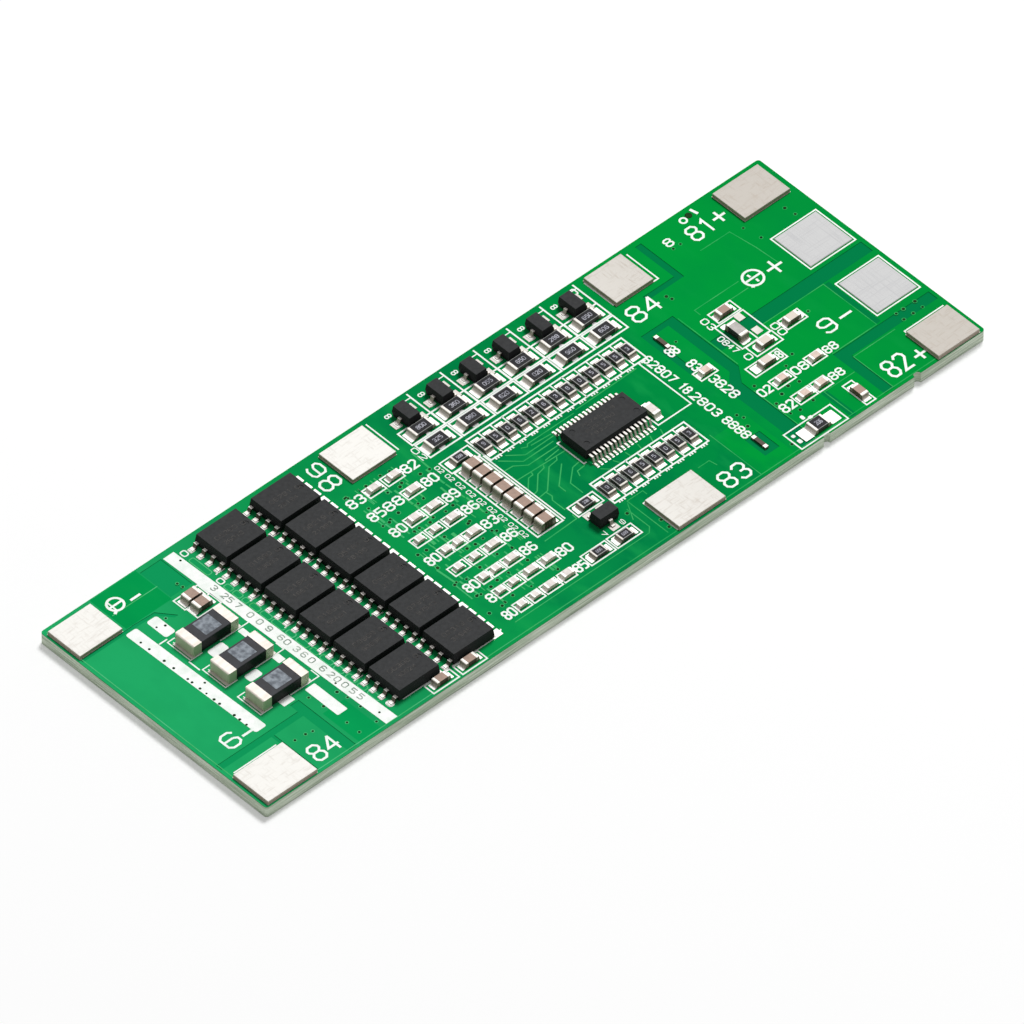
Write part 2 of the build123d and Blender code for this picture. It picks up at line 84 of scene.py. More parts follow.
# Small steps between the tops of shapes in one mesh, so that those that cross share no plane
STAGGER = 0.0015
STAGGER_COUNT = 5

# Widths of lines
LINE_W = 0.21
FRAME_W = 0.18
BRACKET_W = 0.15
TICK_W = 0.14
TRACE_W = 0.14
THIN_W = 0.11
SIGN_W = 0.32

# Solder at the chips' ends: roundness of the caps and where they bend, the longest run of
# a slope for its height, its steps, and the corners of the lands
END_ROUND = 0.16
SHOULDER_SHARE = 0.3
SLOPE_LIMIT = 0.7
FILLET_STEPS = 5
LAND_ROUND = 0.06

# Power transistors: rows in each of the two columns, and the drain lands beside each
MOS_ROWS = 6
FINGERS = 4
FINGER_PITCH = 1.43
FINGER_HALF = 0.55
LEFT_FINGER_REACH = 0.5
RIGHT_FINGER_REACH = 1.25
# The row of small transistors lies behind this place
SMALL_TRANSISTOR_ROW = 10

# Mask colours from the left end to the right end, and areas with one of their own
MASK_COLOURS = (
    (33, 168, 100), (30, 160, 94), (22, 150, 86), (13, 151, 76), (10, 146, 74), (6, 134, 70),
    (2, 131, 66), (2, 136, 64), (2, 149, 60), (2, 150, 57), (3, 143, 58),
)
MASK_AREAS = (
    (-47.7, 12.3, -40.7, 18.4, (5, 151, 76)),
    (-40.6, -18.4, -37.2, -12.0, (9, 156, 84)),
    (20.9, -18.4, 26.0, -10.1, (2, 152, 58)),
    (46.6, -9.6, 47.4, -1.0, (3, 124, 66)),
    (34.4, -18.4, 35.3, -13.3, (2, 126, 66)),
)
AREA_EDGE = 0.1
# Clouds in the mask: detail and stretch of the noise, its range, their share in the middle
# of the board beyond that at its ends, that share, and their colour
MASK_CLOUDS = (
    (4, (260, 170, 200), 0.46, 0.66, 0.3, 0.12, (0, 112, 66)),
    (3, (420, 150, 200), 0.56, 0.74, 0.25, 0.1, (30, 168, 84)),
)

# Light: the floor's size and its share of plain white, the sky, and one soft lamp in metres and watts
FLOOR_HALF = 1.5
FLOOR_DROP = 0.00002
FLOOR_GLOW = 0.25
SKY_STRENGTH = 0.36
KEY_TURN = math.radians(28)
KEY_ELEVATION = math.radians(60)
KEY_DISTANCE = 2.0
KEY_SIZE = 0.55
KEY_POWER = 32.6

# Camera: a long lens that looks down over the front left corner
CAMERA_ELEVATION = math.radians(45.414)
CAMERA_TURN = math.radians(43.567)
CAMERA_ROLL = math.radians(0.58)
CAMERA_DISTANCE = 3257
VIEW_WIDTH = 114.354
SENSOR = 36
AIM_RIGHT = -0.35
AIM_UP = -3.57


def srgb(red, green, blue):
    """A colour from 0 to 255 as linear values with full alpha."""
    linear = [((c / 255 + 0.055) / 1.055) ** 2.4 if c > 10 else c / 3300 for c in (red, green, blue)]
    return (*linear, 1)


class Shader:
    """The nodes of a material or a world, with short ways to add some and to feed its surface."""

    def __init__(self, name, world=False, **surface):
        self.made = (bpy.data.worlds if world else bpy.data.materials).new(name)
        self.made.use_nodes = True
        self.tree = self.made.node_tree
        self.surface = self.tree.nodes["Background" if world else "Principled BSDF"]
        self.output = self.tree.nodes["World Output" if world else "Material Output"]
        self.place = self.add("ShaderNodeTexCoord").outputs["Object"]
        self.set(**surface)

    def add(self, kind, inputs=(), **settings):
        """A new node, with its settings and what feeds its inputs."""
        node = self.tree.nodes.new(kind)
        for name, value in settings.items():
            setattr(node, name, value)
        for socket, value in dict(inputs).items():
            self.feed(node.inputs[socket], value)
        return node

    def feed(self, socket, value):
        """Link another socket, or set a plain value."""
        if isinstance(value, bpy.types.NodeSocket):
            self.tree.links.new(value, socket)
        else:
            socket.default_value = value

    def set(self, **surface):
        """Feed the surface's sockets, named in small letters."""
        for name, value in surface.items():
            self.feed(self.surface.inputs[name.replace("_", " ").title().replace("Ior", "IOR")], value)

    def paint(self, colour):
        """Feed the base colour; the finished material."""
        self.set(base_color=colour)
        return self.made

    def math(self, operation, first, second=0.0):
        return self.add("ShaderNodeMath", {0: first, 1: second}, operation=operation).outputs[0]

    def step(self, value, low, high):
        """From 0 at the low value to 1 at the high one."""
        inputs = {"Value": value, "From Min": low, "From Max": high}
        return self.add("ShaderNodeMapRange", inputs).outputs["Result"]

    def between(self, value, low, high):
        """1 between two places in millimetres, with soft edges."""
        after = self.step(value, low * MM, (low + AREA_EDGE) * MM)
        before = self.step(value, high * MM, (high - AREA_EDGE) * MM)
        return self.math("MULTIPLY", after, before)

    def mix(self, share, first, second):
        """Two colours mixed by the share of the second."""
        node = self.add("ShaderNodeMix", data_type="RGBA")
        for socket, value in ((node.inputs[0], share), (node.inputs[6], first), (node.inputs[7], second)):
            self.feed(socket, value)
        return node.outputs[2]

    def ramp(self, value, low, high, *colours):
        """Colours spread evenly over a range of values."""
        node = self.add("ShaderNodeValToRGB", {"Fac": self.step(value, low, high)})
        stops = node.color_ramp.elements
        for k, colour in enumerate(colours):
            stop = stops[k] if k < 2 else stops.new(1)
            stop.position = k / (len(colours) - 1)
            stop.color = colour
        return node.outputs["Color"]

    def noise(self, scale, detail=3.0, stretch=(1, 1, 1)):
        where = self.add("ShaderNodeMapping", {"Vector": self.place, "Scale": stretch}).outputs["Vector"]
        inputs = {"Vector": where, "Scale": scale, "Detail": detail}
        return self.add("ShaderNodeTexNoise", inputs).outputs["Fac"]

    def mottle(self, first, second, scale, detail=3.0, low=0.35, high=0.7, stretch=(1, 1, 1)):
        """Two colours from 0 to 255 mixed by noise."""
        return self.mix(self.step(self.noise(scale, detail, stretch), low, high), srgb(*first), srgb(*second))

    def axes(self):
        return self.add("ShaderNodeSeparateXYZ", {"Vector": self.place}).outputs

    def up(self):
        """How far a face looks up: 1 when level, 0 when upright."""
        normal = self.add("ShaderNodeNewGeometry").outputs["True Normal"]
        return self.add("ShaderNodeSeparateXYZ", {"Vector": normal}).outputs["Z"]

    def sided(self, side, top, low=0.3, high=0.7):
        """One colour on upright faces and another on level ones."""
        return self.mix(self.step(self.up(), low, high), side, top)

    def bump(self, height, distance, strength=1.0):
        inputs = {"Height": height, "Distance": distance, "Strength": strength}
        self.set(normal=self.add("ShaderNodeBump", inputs).outputs["Normal"])

    def plain_to_camera(self, plain, share):
        """Mix in a plain shader where the camera sees the surface, straight or in a reflection."""
        path = self.add("ShaderNodeLightPath").outputs
        mirrored = self.math("MAXIMUM", path["Is Glossy Ray"], path["Is Transmission Ray"])
        seen = self.math("MULTIPLY", self.math("MAXIMUM", path["Is Camera Ray"], mirrored), share)
        both = self.add("ShaderNodeMixShader", {0: seen, 1: self.surface.outputs[0], 2: plain.outputs[0]})
        self.feed(self.output.inputs["Surface"], both.outputs[0])


def mask_green(s, x, y):
    """The mask's green: it changes along the board, and in a few areas."""
    green = s.ramp(x, -0.05, 0.05, *[srgb(*colour) for colour in MASK_COLOURS])
    for x0, y0, x1, y1, colour in MASK_AREAS:
        inside = s.math("MULTIPLY", s.between(x, x0, x1), s.between(y, y0, y1))
        green = s.mix(inside, green, srgb(*colour))
    middle = s.math("MULTIPLY", s.step(x, -0.022, -0.012), s.step(x, 0.03, 0.02))
    for detail, stretch, low, high, more, least, colour in MASK_CLOUDS:
        share = s.math("ADD", s.math("MULTIPLY", middle, more), least)
        cloud = s.math("MULTIPLY", s.step(s.noise(1, detail, stretch), low, high), share)
        green = s.mix(cloud, green, srgb(*colour))
    return green


def solder_mask():
    """Green mask, deeper in the engraved gaps, with bare glass epoxy at the sides."""
    s = Shader("solder_mask", roughness=0.5, specular_ior_level=0.0)
    x, y, z = s.axes()
    gap = s.ramp(x, -0.03, 0.03, srgb(16, 150, 88), srgb(3, 124, 70))
    green = s.mix(s.step(z, (TOP - 0.02) * MM, (TOP - 0.04) * MM), mask_green(s, x, y), gap)
    side = s.mottle((168, 184, 160), (216, 226, 208), 1, 3, 0.35, 0.65, (180, 180, 5200))
    side = s.mix(s.step(z, (TOP - 0.14) * MM, (TOP - 0.06) * MM), side, srgb(30, 132, 74))
    level = s.math("ABSOLUTE", s.up())
    s.bump(s.noise(500, 4), 0.00001)
    return s.paint(s.mix(s.step(level, 0.3, 0.7), side, green))


def copper_line():
    """Mask over a raised copper line: a little paler than the rest."""
    s = Shader("masked_copper", roughness=0.5, specular_ior_level=0.0)
    base = s.ramp(s.axes()[0], -0.04, 0.04, srgb(92, 196, 140), srgb(44, 166, 92), srgb(36, 166, 84))
    return s.paint(s.mix(s.step(s.noise(400), 0.35, 0.7), base, srgb(70, 180, 104)))


def white_ink():
    """Printed ink, a little uneven."""
    s = Shader("white_ink", roughness=0.55, specular_ior_level=0.2)
    s.bump(s.noise(2500, 2), 0.00001)
    return s.paint(s.mottle((250, 251, 249), (228, 238, 230), 900, 3, 0.4, 0.75))


def speckled(name, roughness, shine, first, second, scale=1600, detail=4, low=0.36, high=0.64):
    """A dull surface of two colours, such as worn print that is thin in places."""
    s = Shader(name, roughness=roughness, specular_ior_level=shine)
    return s.paint(s.mottle(first, second, scale, detail, low, high))


def nickel_strip():
    """Rolled nickel: a fine broken grid of lines, with a few stains, and painted shade in the darker colour
    of its upright sides.
    """
    s = Shader("nickel_strip", metallic=0.12, roughness=0.6, specular_ior_level=0.2)
    x = s.axes()[0]
    along = s.noise(1, 5, (620, 3800, 300))
    across = s.noise(1, 5, (3800, 620, 300))
    lines = s.math("MAXIMUM", s.step(along, 0.54, 0.70), s.step(across, 0.56, 0.72))
    pale = s.mix(s.step(x, -0.005, 0.045), srgb(229, 227, 222), srgb(188, 182, 174))
    share = s.math("ADD", s.math("MULTIPLY", s.step(x, -0.01, 0.03), 0.2), 0.22)
    worn = s.mix(s.math("MULTIPLY", lines, share), pale, srgb(170, 158, 144))
    stain = s.step(s.noise(600, 5), 0.62, 0.80)
    worn = s.mix(s.math("MULTIPLY", stain, 0.3), worn, srgb(168, 154, 138))
    s.bump(lines, 0.00001)
    # Painted shade: the upright sides are darker than the top.
    return s.paint(s.sided(srgb(156, 144, 128), worn, 0.2, 0.8))


def tinned_pad():
    """Levelled solder on the output pads: even grey with a faint fine grid."""
    s = Shader("tinned_pad", metallic=0.12, roughness=0.6, specular_ior_level=0.2)
    grid = [s.step(s.noise(1, 2, stretch), 0.5, 0.7) for stretch in ((200, 5200, 300), (5200, 200, 300))]
    share = s.math("MULTIPLY", s.math("MAXIMUM", *grid), 0.5)
    return s.paint(s.mix(share, srgb(191, 191, 191), srgb(172, 172, 174)))


def tin(name, top, slope, side, metal=0.15):
    """Bright solder or plating, slightly rippled, with darker colours on slopes and upright sides: painted
    shade where the faces turn from the light.
    """
    s = Shader(name, metallic=metal, roughness=0.35)
    face = s.mottle(top, [c * 0.92 for c in top], 1100)
    up = s.up()
    # Painted shade: slopes and upright faces take darker colours than the level top.
    low = s.mix(s.step(up, 0.1, 0.45), srgb(*side), srgb(*slope))
    s.bump(s.noise(900, 2), 0.00002, 0.5)
    return s.paint(s.mix(s.step(up, 0.8, 0.97), low, face))


def moulded_epoxy():
    """Black moulding compound, fine-grained, with a greyer top that is a painted sheen over the near-black of
    its sides.
    """
    s = Shader("moulded_epoxy", roughness=0.65, specular_ior_level=0.15)
    # Painted sheen: the top is greyer than the near-black sides.
    top = s.mottle((48, 49, 50), (36, 37, 38), 2200, 4, 0.3, 0.7)
    s.bump(s.noise(5000, 2), 0.00001)
    return s.paint(s.sided(srgb(20, 21, 22), top, 0.1, 0.9))


def shunt_coating():
    """The shunts' dark lacquer, with a painted sheen that makes the top greyer than the near-black sides."""
    s = Shader("shunt_coating", roughness=0.5, specular_ior_level=0.15)
    # Painted sheen on the greyer top.
    top = s.mottle((50, 51, 56), (42, 43, 46), 1500)
    return s.paint(s.sided(srgb(12, 12, 14), top, 0.1, 0.8))


def shunt_plating():
    """Smooth plated ends, white on top and sage where they mirror the board."""
    s = Shader("shunt_plating", metallic=0.15, roughness=0.45)
    top = s.mottle((226, 217, 208), (204, 194, 184), 1, 3, 0.4, 0.75, (500, 1800, 300))
    return s.paint(s.sided(srgb(172, 178, 150), top, 0.2, 0.9))


def ceramic_with_shaded_sides(name, top, side):
    """A ceramic chip with its own colour on top and a darker one at the sides, which is painted shade."""
    s = Shader(name, roughness=0.5, specular_ior_level=0.3)
    return s.paint(s.sided(srgb(*side), s.mottle(top, [c * 0.9 for c in top], 2500)))


def output_ceramic():
    """The output capacitors: cream, but for the brown first and last ones, with painted shade in the darker
    colour of their sides.
    """
    s = Shader("output_ceramic", roughness=0.5, specular_ior_level=0.3)
    y = s.axes()[1]
    brown = s.math("MAXIMUM", s.step(y, 0.0020, 0.0024), s.step(y, -0.0130, -0.0134))
    top = s.mix(brown, srgb(220, 208, 196), srgb(164, 134, 120))
    # Painted shade: the sides are darker than the top.
    return s.paint(s.sided(srgb(84, 70, 56), top))


MATERIALS = {
    "solder_mask": solder_mask(),
    "nickel_strip": nickel_strip(),
    "tinned_pad": tinned_pad(),
    "shunt_plating": shunt_plating(),
    "shunt_coating": shunt_coating(),
    # Solder and plated leads: their darker slope and side colours are painted shade.
    "tinned_lead": tin("tinned_lead", (232, 226, 219), (206, 200, 191), (140, 130, 116)),
    "solder": tin("solder", (248, 246, 242), (240, 236, 230), (150, 144, 132)),
    "moulded_epoxy": moulded_epoxy(),
    # Ceramic chips: their darker side colours are painted shade.
    "capacitor_ceramic": ceramic_with_shaded_sides("capacitor_ceramic", (166, 138, 122), (50, 36, 22)),
    "white_ceramic": ceramic_with_shaded_sides("white_ceramic", (236, 228, 222), (206, 192, 176)),
    "grey_package": ceramic_with_shaded_sides("grey_package", (188, 183, 178), (24, 26, 22)),
    "dark_link": ceramic_with_shaded_sides("dark_link", (66, 50, 30), (40, 30, 22)),
    "resistor_glaze": ceramic_with_shaded_sides("resistor_ceramic", (150, 150, 148), (42, 41, 37)),
}
INK = white_ink()
COPPER = copper_line()
# Painted shade for the via holes.
HOLE = speckled("hole_shadow", 0.8, 0.05, (12, 44, 22), (38, 66, 32), 3000, 3, 0.4, 0.6)
GLAZE = speckled("black_glaze", 0.6, 0.1, (46, 46, 49), (34, 34, 36), 2500, 3, 0.35, 0.7)
FAINT = speckled("faint_mark", 0.8, 0.1, (56, 55, 55), (80, 78, 76), 1800, 3, 0.35, 0.65)
# Solders for the chips' ends: grey on the row chips; their darker slope and side colours are painted shade.
CAPACITOR_TIN = tin("capacitor_tin", (236, 230, 223), (204, 196, 184), (122, 112, 98))
GREY_SOLDER = tin("grey_solder", (206, 200, 192), (156, 148, 136), (88, 80, 68))
PALE_SOLDER = tin("pale_solder", (250, 246, 242), (226, 220, 212), (204, 194, 182))
PATCH = speckled("shunt_patch", 0.6, 0.2, (92, 98, 106), (146, 154, 162))
VALUE = speckled("value_print", 0.6, 0.2, (126, 126, 136), (184, 184, 194))
BAR_PRINT = speckled("bar_print", 0.6, 0.2, (112, 134, 118), (178, 190, 178))

# Nodes that differ a little from the rest of their slot
NODE_LOOKS = {
    # The darker slope and side colours of these solders are painted shade.
    "power_transistor_leads": tin("shaded_lead", (244, 238, 232), (96, 84, 70), (44, 38, 30)),
    "solder_lands": tin("dull_solder", (218, 212, 204), (182, 176, 166), (104, 98, 86), 0.05),
    "output_capacitors": output_ceramic(),
    # Darker sides here are painted shade too.
    "output_resistors": ceramic_with_shaded_sides("beige_ceramic", (226, 202, 188), (150, 130, 112)),
}
for part in frame["record"]["subparts"]:
    shown = frame["nodes"][part["node"]].data
    shown.materials.clear()
    shown.materials.append(NODE_LOOKS.get(part["node"], MATERIALS[part["material_slot"]]))


def placed(name, data):
    """A new object in the scene."""
    made = bpy.data.objects.new(name, data)
    bpy.context.scene.collection.objects.link(made)
    return made


class Relief:
    """Thin raised shapes on the board, gathered into one mesh."""

    def __init__(self, height, base=TOP):
        self.base, self.height, self.made = base, height, 0
        self.low = base - SUNK
        self.vertices, self.faces = [], []

    def level(self):
        """The top of the next shape: shapes that cross never share a plane."""
        self.made += 1
        return self.base + self.height + self.made % STAGGER_COUNT * STAGGER

    def stack(self, *loops):
        """A closed solid through loops of corners, from its foot to its top."""
        start, count = len(self.vertices), len(loops[0])
        self.vertices += [corner for loop in loops for corner in loop]
        last = len(self.vertices) - count
        self.faces.append([start + i for i in reversed(range(count))])
        self.faces.append([last + i for i in range(count)])
        for here in range(start, last, count):
            for i in range(count):
                j = (i + 1) % count
                self.faces.append([here + i, here + j, here + count + j, here + count + i])

    def plate(self, outline):
        """A flat plate over a closed outline, given anticlockwise."""
        self.stack(*[[(x, y, z) for x, y in outline] for z in (self.low, self.level())])

    def strip(self, right, left, closed):
        """A band between two rows of points that run side by side."""
        start, count, high = len(self.vertices), len(right), self.level()
        for (rx, ry), (lx, ly) in zip(right, left):
            self.vertices += [(rx, ry, self.low), (rx, ry, high), (lx, ly, high), (lx, ly, self.low)]
        for i in range(count if closed else count - 1):
            here, there = start + 4 * i, start + 4 * ((i + 1) % count)
            for k in range(4):
                m = (k + 1) % 4
                self.faces.append([here + k, there + k, there + m, here + m])
        if not closed:
            end = start + 4 * (count - 1)
            self.faces.append([start, start + 1, start + 2, start + 3])
            self.faces.append([end + 3, end + 2, end + 1, end])

    def line(self, *points, width=LINE_W, closed=False):
        """A line of even width through the points, with mitred corners."""
        spots = [Vector(p) for p in points]
        right, left = [], []
        for i, spot in enumerate(spots):
            before = spots[i - 1] if i or closed else None
            after = spots[(i + 1) % len(spots)] if i < len(spots) - 1 or closed else None
            into = (spot - before).normalized() if before else (after - spot).normalized()
            out = (after - spot).normalized() if after else into
            across = Vector((into.y + out.y, -into.x - out.x)).normalized()
            reach = width / 2 / max(0.35, across.dot(Vector((out.y, -out.x))))
            right.append(spot + across * reach)
            left.append(spot - across * reach)
        self.strip(right, left, closed)

    def bar(self, x0, y0, x1, y1, radius=0.0, lean=0.0):
        """A filled rectangle, with rounded corners and a lean where they are given."""
        self.plate([(x + lean * (y - y1), y) for x, y in rounded(x0, y0, x1, y1, radius)])

    def box(self, x0, y0, x1, y1, width=LINE_W):
        """The outline of a rectangle."""
        self.line((x0, y0), (x1, y0), (x1, y1), (x0, y1), width=width, closed=True)

    def ring(self, x, y, radius, width, sides=20):
        """A round line."""
        self.line(*circle(x, y, radius, sides), width=width, closed=True)

    def disc(self, x, y, radius):
        """A round plate."""
        self.plate(circle(x, y, radius, DISC_SIDES))

    def mound(self, x0, y0, x1, y1, radius, inset):
        """A low heap with a rounded foot and a smaller flat crown."""
        foot = rounded(x0, y0, x1, y1, radius)
        crown = rounded(x0 + inset, y0 + inset, x1 - inset, y1 - inset, radius)
        levels = ((foot, self.low), (foot, self.base + TIN_T), (crown, self.level()))
        self.stack(*[[(x, y, z) for x, y in outline] for outline, z in levels])

    def sweep(self, profile, place, width):
        """A side profile (run, height) carried across a width; place turns it into the board's axes."""
        sides = (-width / 2, width / 2)
        self.stack(*[[(*place(run, across), z) for run, z in profile] for across in sides])

    def text(self, words, x0, y0, x1, y1, turn=0):
        """Plain figures that fill a rectangle, turned by quarter turns."""
        upright = turn % 2 == 0
        wide, tall = (x1 - x0, y1 - y0) if upright else (y1 - y0, x1 - x0)
        weight = min(tall * 0.16, 0.16 + tall * 0.05)
        span = FIGURE_WIDE * len(words) + FIGURE_GAP * (len(words) - 1)
        step_x, step_y = (wide - weight) / span, (tall - weight) / FIGURE_TALL
        spin = Matrix.Rotation(math.radians(90 * turn), 2)
        centre = Vector(((x0 + x1) / 2, (y0 + y1) / 2))
        for k, figure in enumerate(words):
            for stroke in FIGURE_STROKES[figure]:
                points = []
                for x, y in stroke:
                    x += k * (FIGURE_WIDE + FIGURE_GAP) - span / 2
                    points.append(centre + spin @ Vector((x * step_x, (y - FIGURE_TALL / 2) * step_y)))
                closed = len(points) > 3 and points[0] == points[-1]
                self.line(*(points[:-1] if closed else points), width=weight, closed=closed)

    def piece(self, name, material=MATERIALS["solder"], slot="solder"):
        """The gathered shapes as one object that rides on the board."""
        mesh = bpy.data.meshes.new(name)
        mesh.from_pydata([Vector(v) * MM for v in self.vertices], [], self.faces)
        mesh.materials.append(material)
        mesh.update()
        turned = bmesh.new()
        turned.from_mesh(mesh)
        bmesh.ops.recalc_face_normals(turned, faces=turned.faces)
        turned.to_mesh(mesh)
        turned.free()
        made = placed(name, mesh)
        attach(made, "root")
        return made


# Steps round a corner and sides of a round plate
CORNER_STEPS = 4
DISC_SIDES = 12


def circle(x, y, radius, sides):
    """Points round a circle, anticlockwise."""
    turns = [2 * math.pi * i / sides for i in range(sides)]
    return [(x + radius * math.cos(a), y + radius * math.sin(a)) for a in turns]


def rounded(x0, y0, x1, y1, radius):
    """The outline of a rectangle with rounded corners, anticlockwise."""
    if not radius:
        return [(x0, y0), (x1, y0), (x1, y1), (x0, y1)]
    left, low, right, high = x0 + radius, y0 + radius, x1 - radius, y1 - radius
    points = []
    for quarter, (x, y) in enumerate(((right, high), (left, high), (left, low), (right, low))):
        for i in range(CORNER_STEPS + 1):
            angle = math.pi / 2 * (quarter + i / CORNER_STEPS)
            points.append((x + radius * math.cos(angle), y + radius * math.sin(angle)))
    return points


# Plain figures drawn with strokes on a grid, and the gap between two of them
FIGURE_WIDE = 4
FIGURE_TALL = 6
FIGURE_GAP = 1.7
FIGURE_STROKES = {
    "0": (((1, 0), (3, 0), (4, 1), (4, 5), (3, 6), (1, 6), (0, 5), (0, 1), (1, 0)),),
    "1": (((0.8, 4.8), (2.2, 6), (2.2, 0)),),
    "2": (((0, 5), (1, 6), (3, 6), (4, 5), (4, 4), (0, 0), (4, 0)),),
    "3": (
        ((0, 5), (1, 6), (3, 6), (4, 5), (4, 4), (3, 3), (4, 2), (4, 1), (3, 0), (1, 0), (0, 1)),
        ((1.5, 3), (3, 3)),
    ),
    "4": (((3, 0), (3, 6)), ((3, 6), (0, 2), (4, 2))),
    "5": (((4, 6), (0, 6), (0, 3.5), (3, 3.5), (4, 2.5), (4, 1), (3, 0), (0, 0)),),
    "6": (
        ((4, 5), (3, 6), (1, 6), (0, 5), (0, 1), (1, 0), (3, 0), (4, 1), (4, 2.4), (3, 3.2)),
        ((3, 3.2), (0, 3.2)),
    ),
    "7": (((0, 6), (4, 6), (1.6, 0)),),
    "8": (
        (
            (1, 0), (3, 0), (4, 1), (4, 2.2), (3, 3.2), (4, 4.2), (4, 5), (3, 6),
            (1, 6), (0, 5), (0, 4.2), (1, 3.2), (0, 2.2), (0, 1), (1, 0),
        ),
        ((1, 3.2), (3, 3.2)),
    ),
    "9": (
        ((0, 1), (1, 0), (3, 0), (4, 1), (4, 5), (3, 6), (1, 6), (0, 5), (0, 3.8), (1, 2.8)),
        ((1, 2.8), (4, 2.8)),
    ),
}


def solids(node):
    """The corners of each separate solid in a CAD node, in millimetres."""
    shape = bmesh.new()
    shape.from_mesh(frame["nodes"][node].data)
    bmesh.ops.remove_doubles(shape, verts=shape.verts, dist=0.001 * MM)
    found, seen = [], set()
    for first in shape.verts:
        if first in seen:
            continue
        seen.add(first)
        island, queue = [], [first]
        while queue:
            vertex = queue.pop()
            island.append(tuple(vertex.co / MM))
            for edge in vertex.link_edges:
                other = edge.other_vert(vertex)
                if other not in seen:
                    seen.add(other)
                    queue.append(other)
        found.append(island)
    shape.free()
    return sorted(found)


# A box seen from above with the height of its top, a chip's metal end, and a chip
Box = namedtuple("Box", "x0 y0 x1 y1 z")
End = namedtuple("End", "axis side inner half outer middle width top")
Chip = namedtuple("Chip", "box body ends")
TOUCH = 0.02


def box_of(corners):
    """The box round some corners, with the height of its top."""
    xs, ys, zs = zip(*corners)
    return Box(min(xs), min(ys), max(xs), max(ys), max(zs))


def boxes(node):
    """The boxes of the solids in a CAD node, from left to right."""
    return sorted(box_of(corners) for corners in solids(node))


END_SOLIDS = [(box_of(corners), corners) for corners in solids("chip_ends")]


def chip_end(body, end, corners):
    """A chip's metal end, measured along the chip from the body outwards."""
    axis = 0 if abs(end.y0 - body.y0) < TOUCH else 1
    side = 1 if end[axis] > body[axis] else -1
    tops = [c[axis] for c in corners if c[2] > end.z - TOUCH]
    inner, half = (min(tops), max(tops)) if side > 0 else (max(tops), min(tops))
    outer = end[axis + 2] if side > 0 else end[axis]
    across = 1 - axis
    middle, width = (end[across] + end[across + 2]) / 2, end[across + 2] - end[across]
    return End(axis, side, inner, half, outer, middle, width, end.z)


def chips(node):
    """The chips in a CAD node: box with ends, body box and the two ends."""
    found = []
    for body in boxes(node):
        near = [
            (end, corners) for end, corners in END_SOLIDS
            if end.x0 < body.x1 + TOUCH and end.x1 > body.x0 - TOUCH
            and end.y0 < body.y1 + TOUCH and end.y1 > body.y0 - TOUCH
        ]
        ends = [chip_end(body, end, corners) for end, corners in near]
        whole = box_of([(b.x0, b.y0, b.z) for b, _ in near] + [(b.x1, b.y1, b.z) for b, _ in near])
        found.append(Chip(whole, body, ends))
    return found


def node_box(node):
    """The box of a CAD node in millimetres."""
    low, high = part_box(node)
    return Box(low.x / MM, low.y / MM, high.x / MM, high.y / MM, high.z / MM)


# Solid white areas: sense bars and small patches, with their corner radius
BARS = (
    (-45.35, 8.35, -43.8, 11.6, 0.35),
    (-39.5, -13.4, -38.0, -8.0, 0.15),
    (-43.5, 2.4, -41.2, 3.7, 0.3),
    (-38.8, 2.4, -38.0, 3.7, 0.1),
    (-43.1, -3.1, -41.2, -1.9, 0.3),
    (-38.8, -3.1, -37.8, -1.9, 0.1),
    (-42.95, -8.4, -41.3, -7.3, 0.1),
    (30.1, -15.0, 30.55, -14.35, 0.15),
    (30.75, -15.45, 31.3, -15.0, 0.15),
    (27.3, -16.35, 27.75, -15.9, 0.12),
    (27.3, -17.5, 27.8, -16.85, 0.15),
)
SENSE_BAR = (-48.4, -9.2, -46.75, 11.7, 0.3, -0.02)
LEANING_BAR = ((-36.45, -18.0), (-34.75, -18.0), (-35.65, 17.6), (-37.25, 17.6))
# Vias: down the sense bar, elsewhere, and strewn in rows between the gate resistors
SENSE_HOLES_X = -47.9
SENSE_HOLES_Y = (9.7, 8.3, 5.85, 4.3, 2.0, 1.3, 0.0, -1.05, -2.3, -3.2, -5.6, -6.5, -7.6)
HOLES = (
    (-46.9, 0.3), (-45.0, 10.25), (-44.1, 9.8), (-43.3, 10.6), (-38.7, 13.7), (-38.6, 12.9), (-45.6, -13.0),
    (-44.1, -13.1), (-43.2, -13.3), (-39.5, -14.9), (-39.5, -16.9), (-37.0, -17.0), (-36.7, -14.1),
    (-36.8, -12.1), (-37.1, -10.7), (-39.7, -11.3), (-40.0, -9.2), (-36.3, -9.6), (-35.8, -16.2),
    (-36.0, 16.1), (49.4, -9.9), (50.5, -9.9), (52.3, -9.9), (49.4, -11.15), (50.85, -11.15),
    (52.3, -11.15), (46.15, 11.65), (46.6, 9.2), (52.0, 9.3), (51.8, 10.8), (38.1, 14.6), (39.2, 14.6),
    (32.3, 9.6), (32.5, 8.9), (29.8, -13.3), (29.8, -7.4), (28.15, 3.65), (29.7, -11.1), (32.6, -9.95),
    (31.2, -10.4), (34.0, -10.3), (34.6, -7.5), (36.4, -6.6), (42.4, -2.9), (31.0, -13.6), (33.1, -13.5),
    (26.6, -16.9), (25.2, -9.4), (25.5, -10.2), (24.9, -11.5), (1.8, 4.3), (5.6, -12.3), (7.6, -17.0),
    (7.7, -15.6),
)
MARKER_HOLE = (43.0, 17.3, 0.45)
HOLE_R = 0.17
STITCH_ROWS = (10.8, 8.0, 4.9, 1.7, -1.3, -4.3, -7.4, -10.3, -13.2)
STITCH_SPAN = (-16.4, -5.6)
STITCH_COUNT = 6
STITCH_LINES = 7

